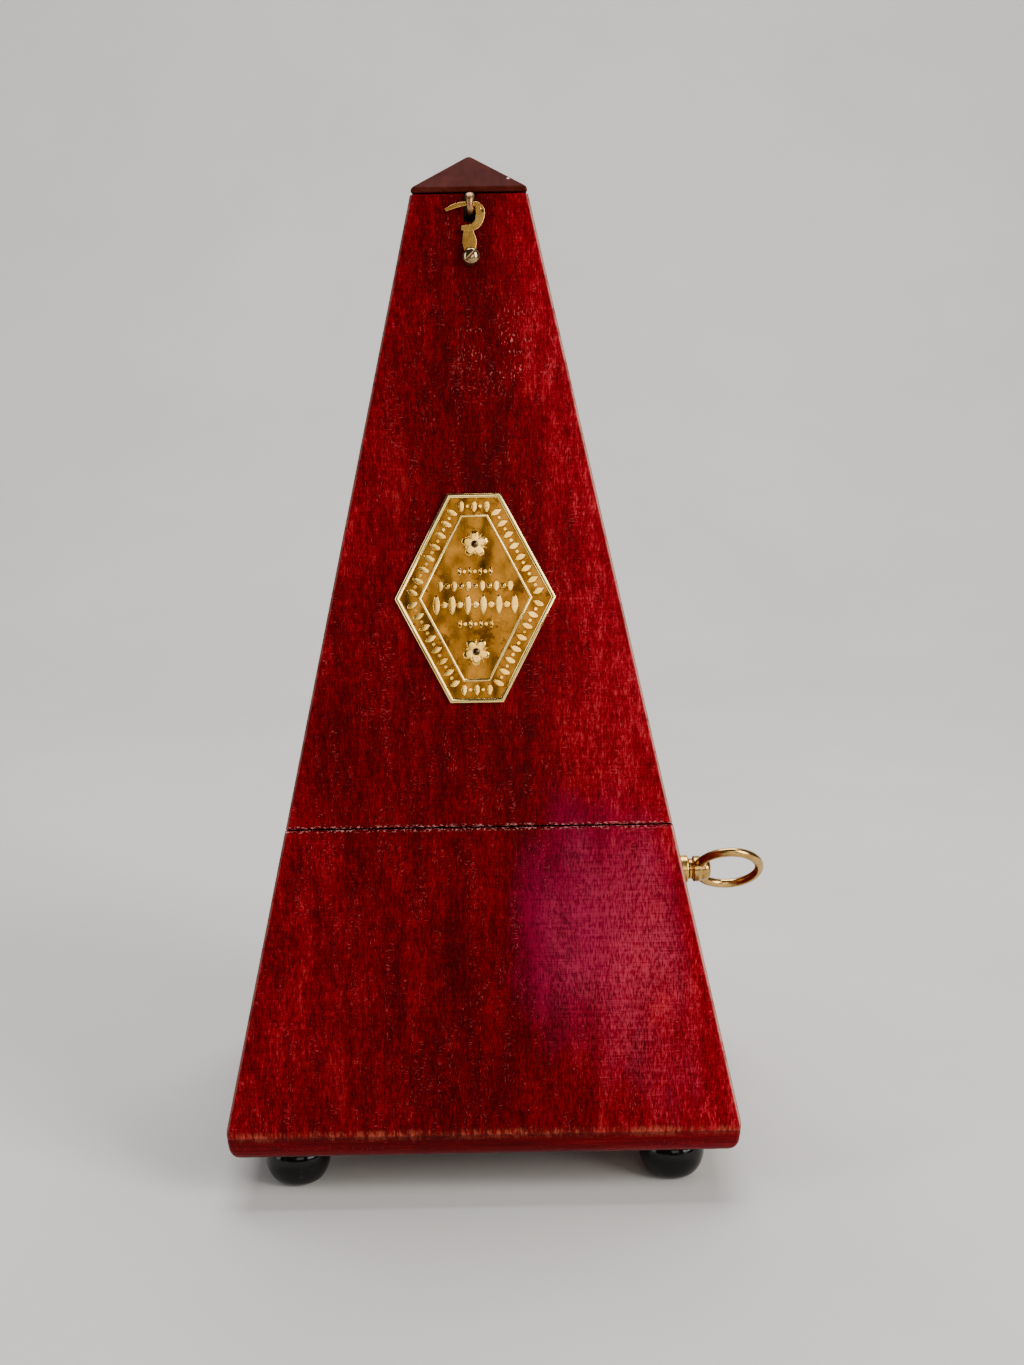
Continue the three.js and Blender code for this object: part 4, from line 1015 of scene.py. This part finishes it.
def add_bushing():
    """The turned collar that the key's arbor runs in."""
    low, high = box_mm("key_bushing")
    radius = (high.y - low.y) / 2
    bore = 2.2
    outside = [(bore, low.x), (radius, low.x), (radius, high.x - 0.5), (radius - 0.12, high.x - 0.2),
               (radius - 0.4, high.x - 0.05), (bore + 0.35, high.x), (bore, high.x - 0.2)]
    bm = bmesh.new()
    rings = [[bm.verts.new(KEY @ Vector(p)) for p in circle(r, h, 64)] for r, h in outside]
    for ring, following in zip(rings, rings[1:] + rings[:1]):
        for i in range(64):
            j = (i + 1) % 64
            bm.faces.new((ring[i], ring[j], following[j], following[i]))
    finished("key_bushing_turned", bm, ["bright_brass"], "case", ["key_bushing"])


# ---- Pendulum and scale ----------------------------------------------------------------------
def tempo_marks():
    """The usual metronome steps, from 40 to 208 beats a minute."""
    marks = []
    for first, last, step in ((40, 60, 2), (63, 72, 3), (76, 120, 4), (126, 144, 6), (152, 208, 8)):
        marks += range(first, last + 1, step)
    return marks


def add_scale():
    """Printed lines and numbers either side of the rod, slowest at the top."""
    low, high = on_face("scale_plate")
    front = high.z
    marks = tempo_marks()
    top, bottom = high.y - 4, low.y + 9
    lines, figures = bmesh.new(), bmesh.new()
    for i, tempo in enumerate(marks):
        side = 1 if i % 2 == 0 else -1
        up = top + (bottom - top) * i / (len(marks) - 1)
        ends = sorted((side * 1.2, side * 3.6))
        add_loft(lines, [[(ends[0], up - 0.09, z), (ends[1], up - 0.09, z), (ends[1], up + 0.09, z),
                          (ends[0], up + 0.09, z)] for z in (front - 0.02, front + 0.04)], FACE)
        text = bpy.data.curves.new("figure", "FONT")
        text.body = str(tempo)
        text.size = 2.3
        text.align_x = "LEFT" if side > 0 else "RIGHT"
        text.align_y = "CENTER"
        text.extrude = 0.03
        text.resolution_u = 3
        holder = bpy.data.objects.new("figure", text)
        bpy.context.scene.collection.objects.link(holder)
        graph = bpy.context.evaluated_depsgraph_get()
        mesh = bpy.data.meshes.new_from_object(holder.evaluated_get(graph))
        mesh.transform(FACE @ Matrix.Translation((side * 4.1, up, front + 0.02)))
        figures.from_mesh(mesh)
        bpy.data.objects.remove(holder)
    finished("scale_lines", lines, ["scale_ink"], "case")
    finished("scale_figures", figures, ["scale_ink"], "case")
    refined("scale_plate", "scale_paint", 0.1)


def add_pendulum():
    refined("pendulum_rod", "steel", 0.08, segments=2)
    refined("tempo_weight", "bright_brass", 0.35)
    refined("counterweight_bob", "lead_bob", 0.5)
    polished("verge_arbor", "steel")
    polished("rod_rest", "bright_brass", 0.2)


def add_movement():
    """The clockwork is closed in by the case, so its CAD shapes stay."""
    slots = {s["node"]: s["material_slot"] for s in frame["record"]["subparts"]}
    hidden = ["movement_plate_left", "movement_plate_right", "verge_bridge", "verge_cock", "escape_potence",
              "spring_barrel", "barrel_cover", "mainspring", "second_arbor", "second_wheel", "escape_arbor",
              "crown_wheel", "winding_arbor", "ratchet_wheel", "click", "click_screw", "click_spring",
              *(n for n in frame["nodes"] if n.startswith("pillar_"))]
    for node in hidden:
        polished(node, slots[node])


add_camera()
add_studio()
add_sweep()
add_case()
add_plate()
add_plate_ornament()
add_hook()
add_latch_screw()
add_eye()
add_key()
add_bushing()
add_scale()
add_pendulum()
add_movement()
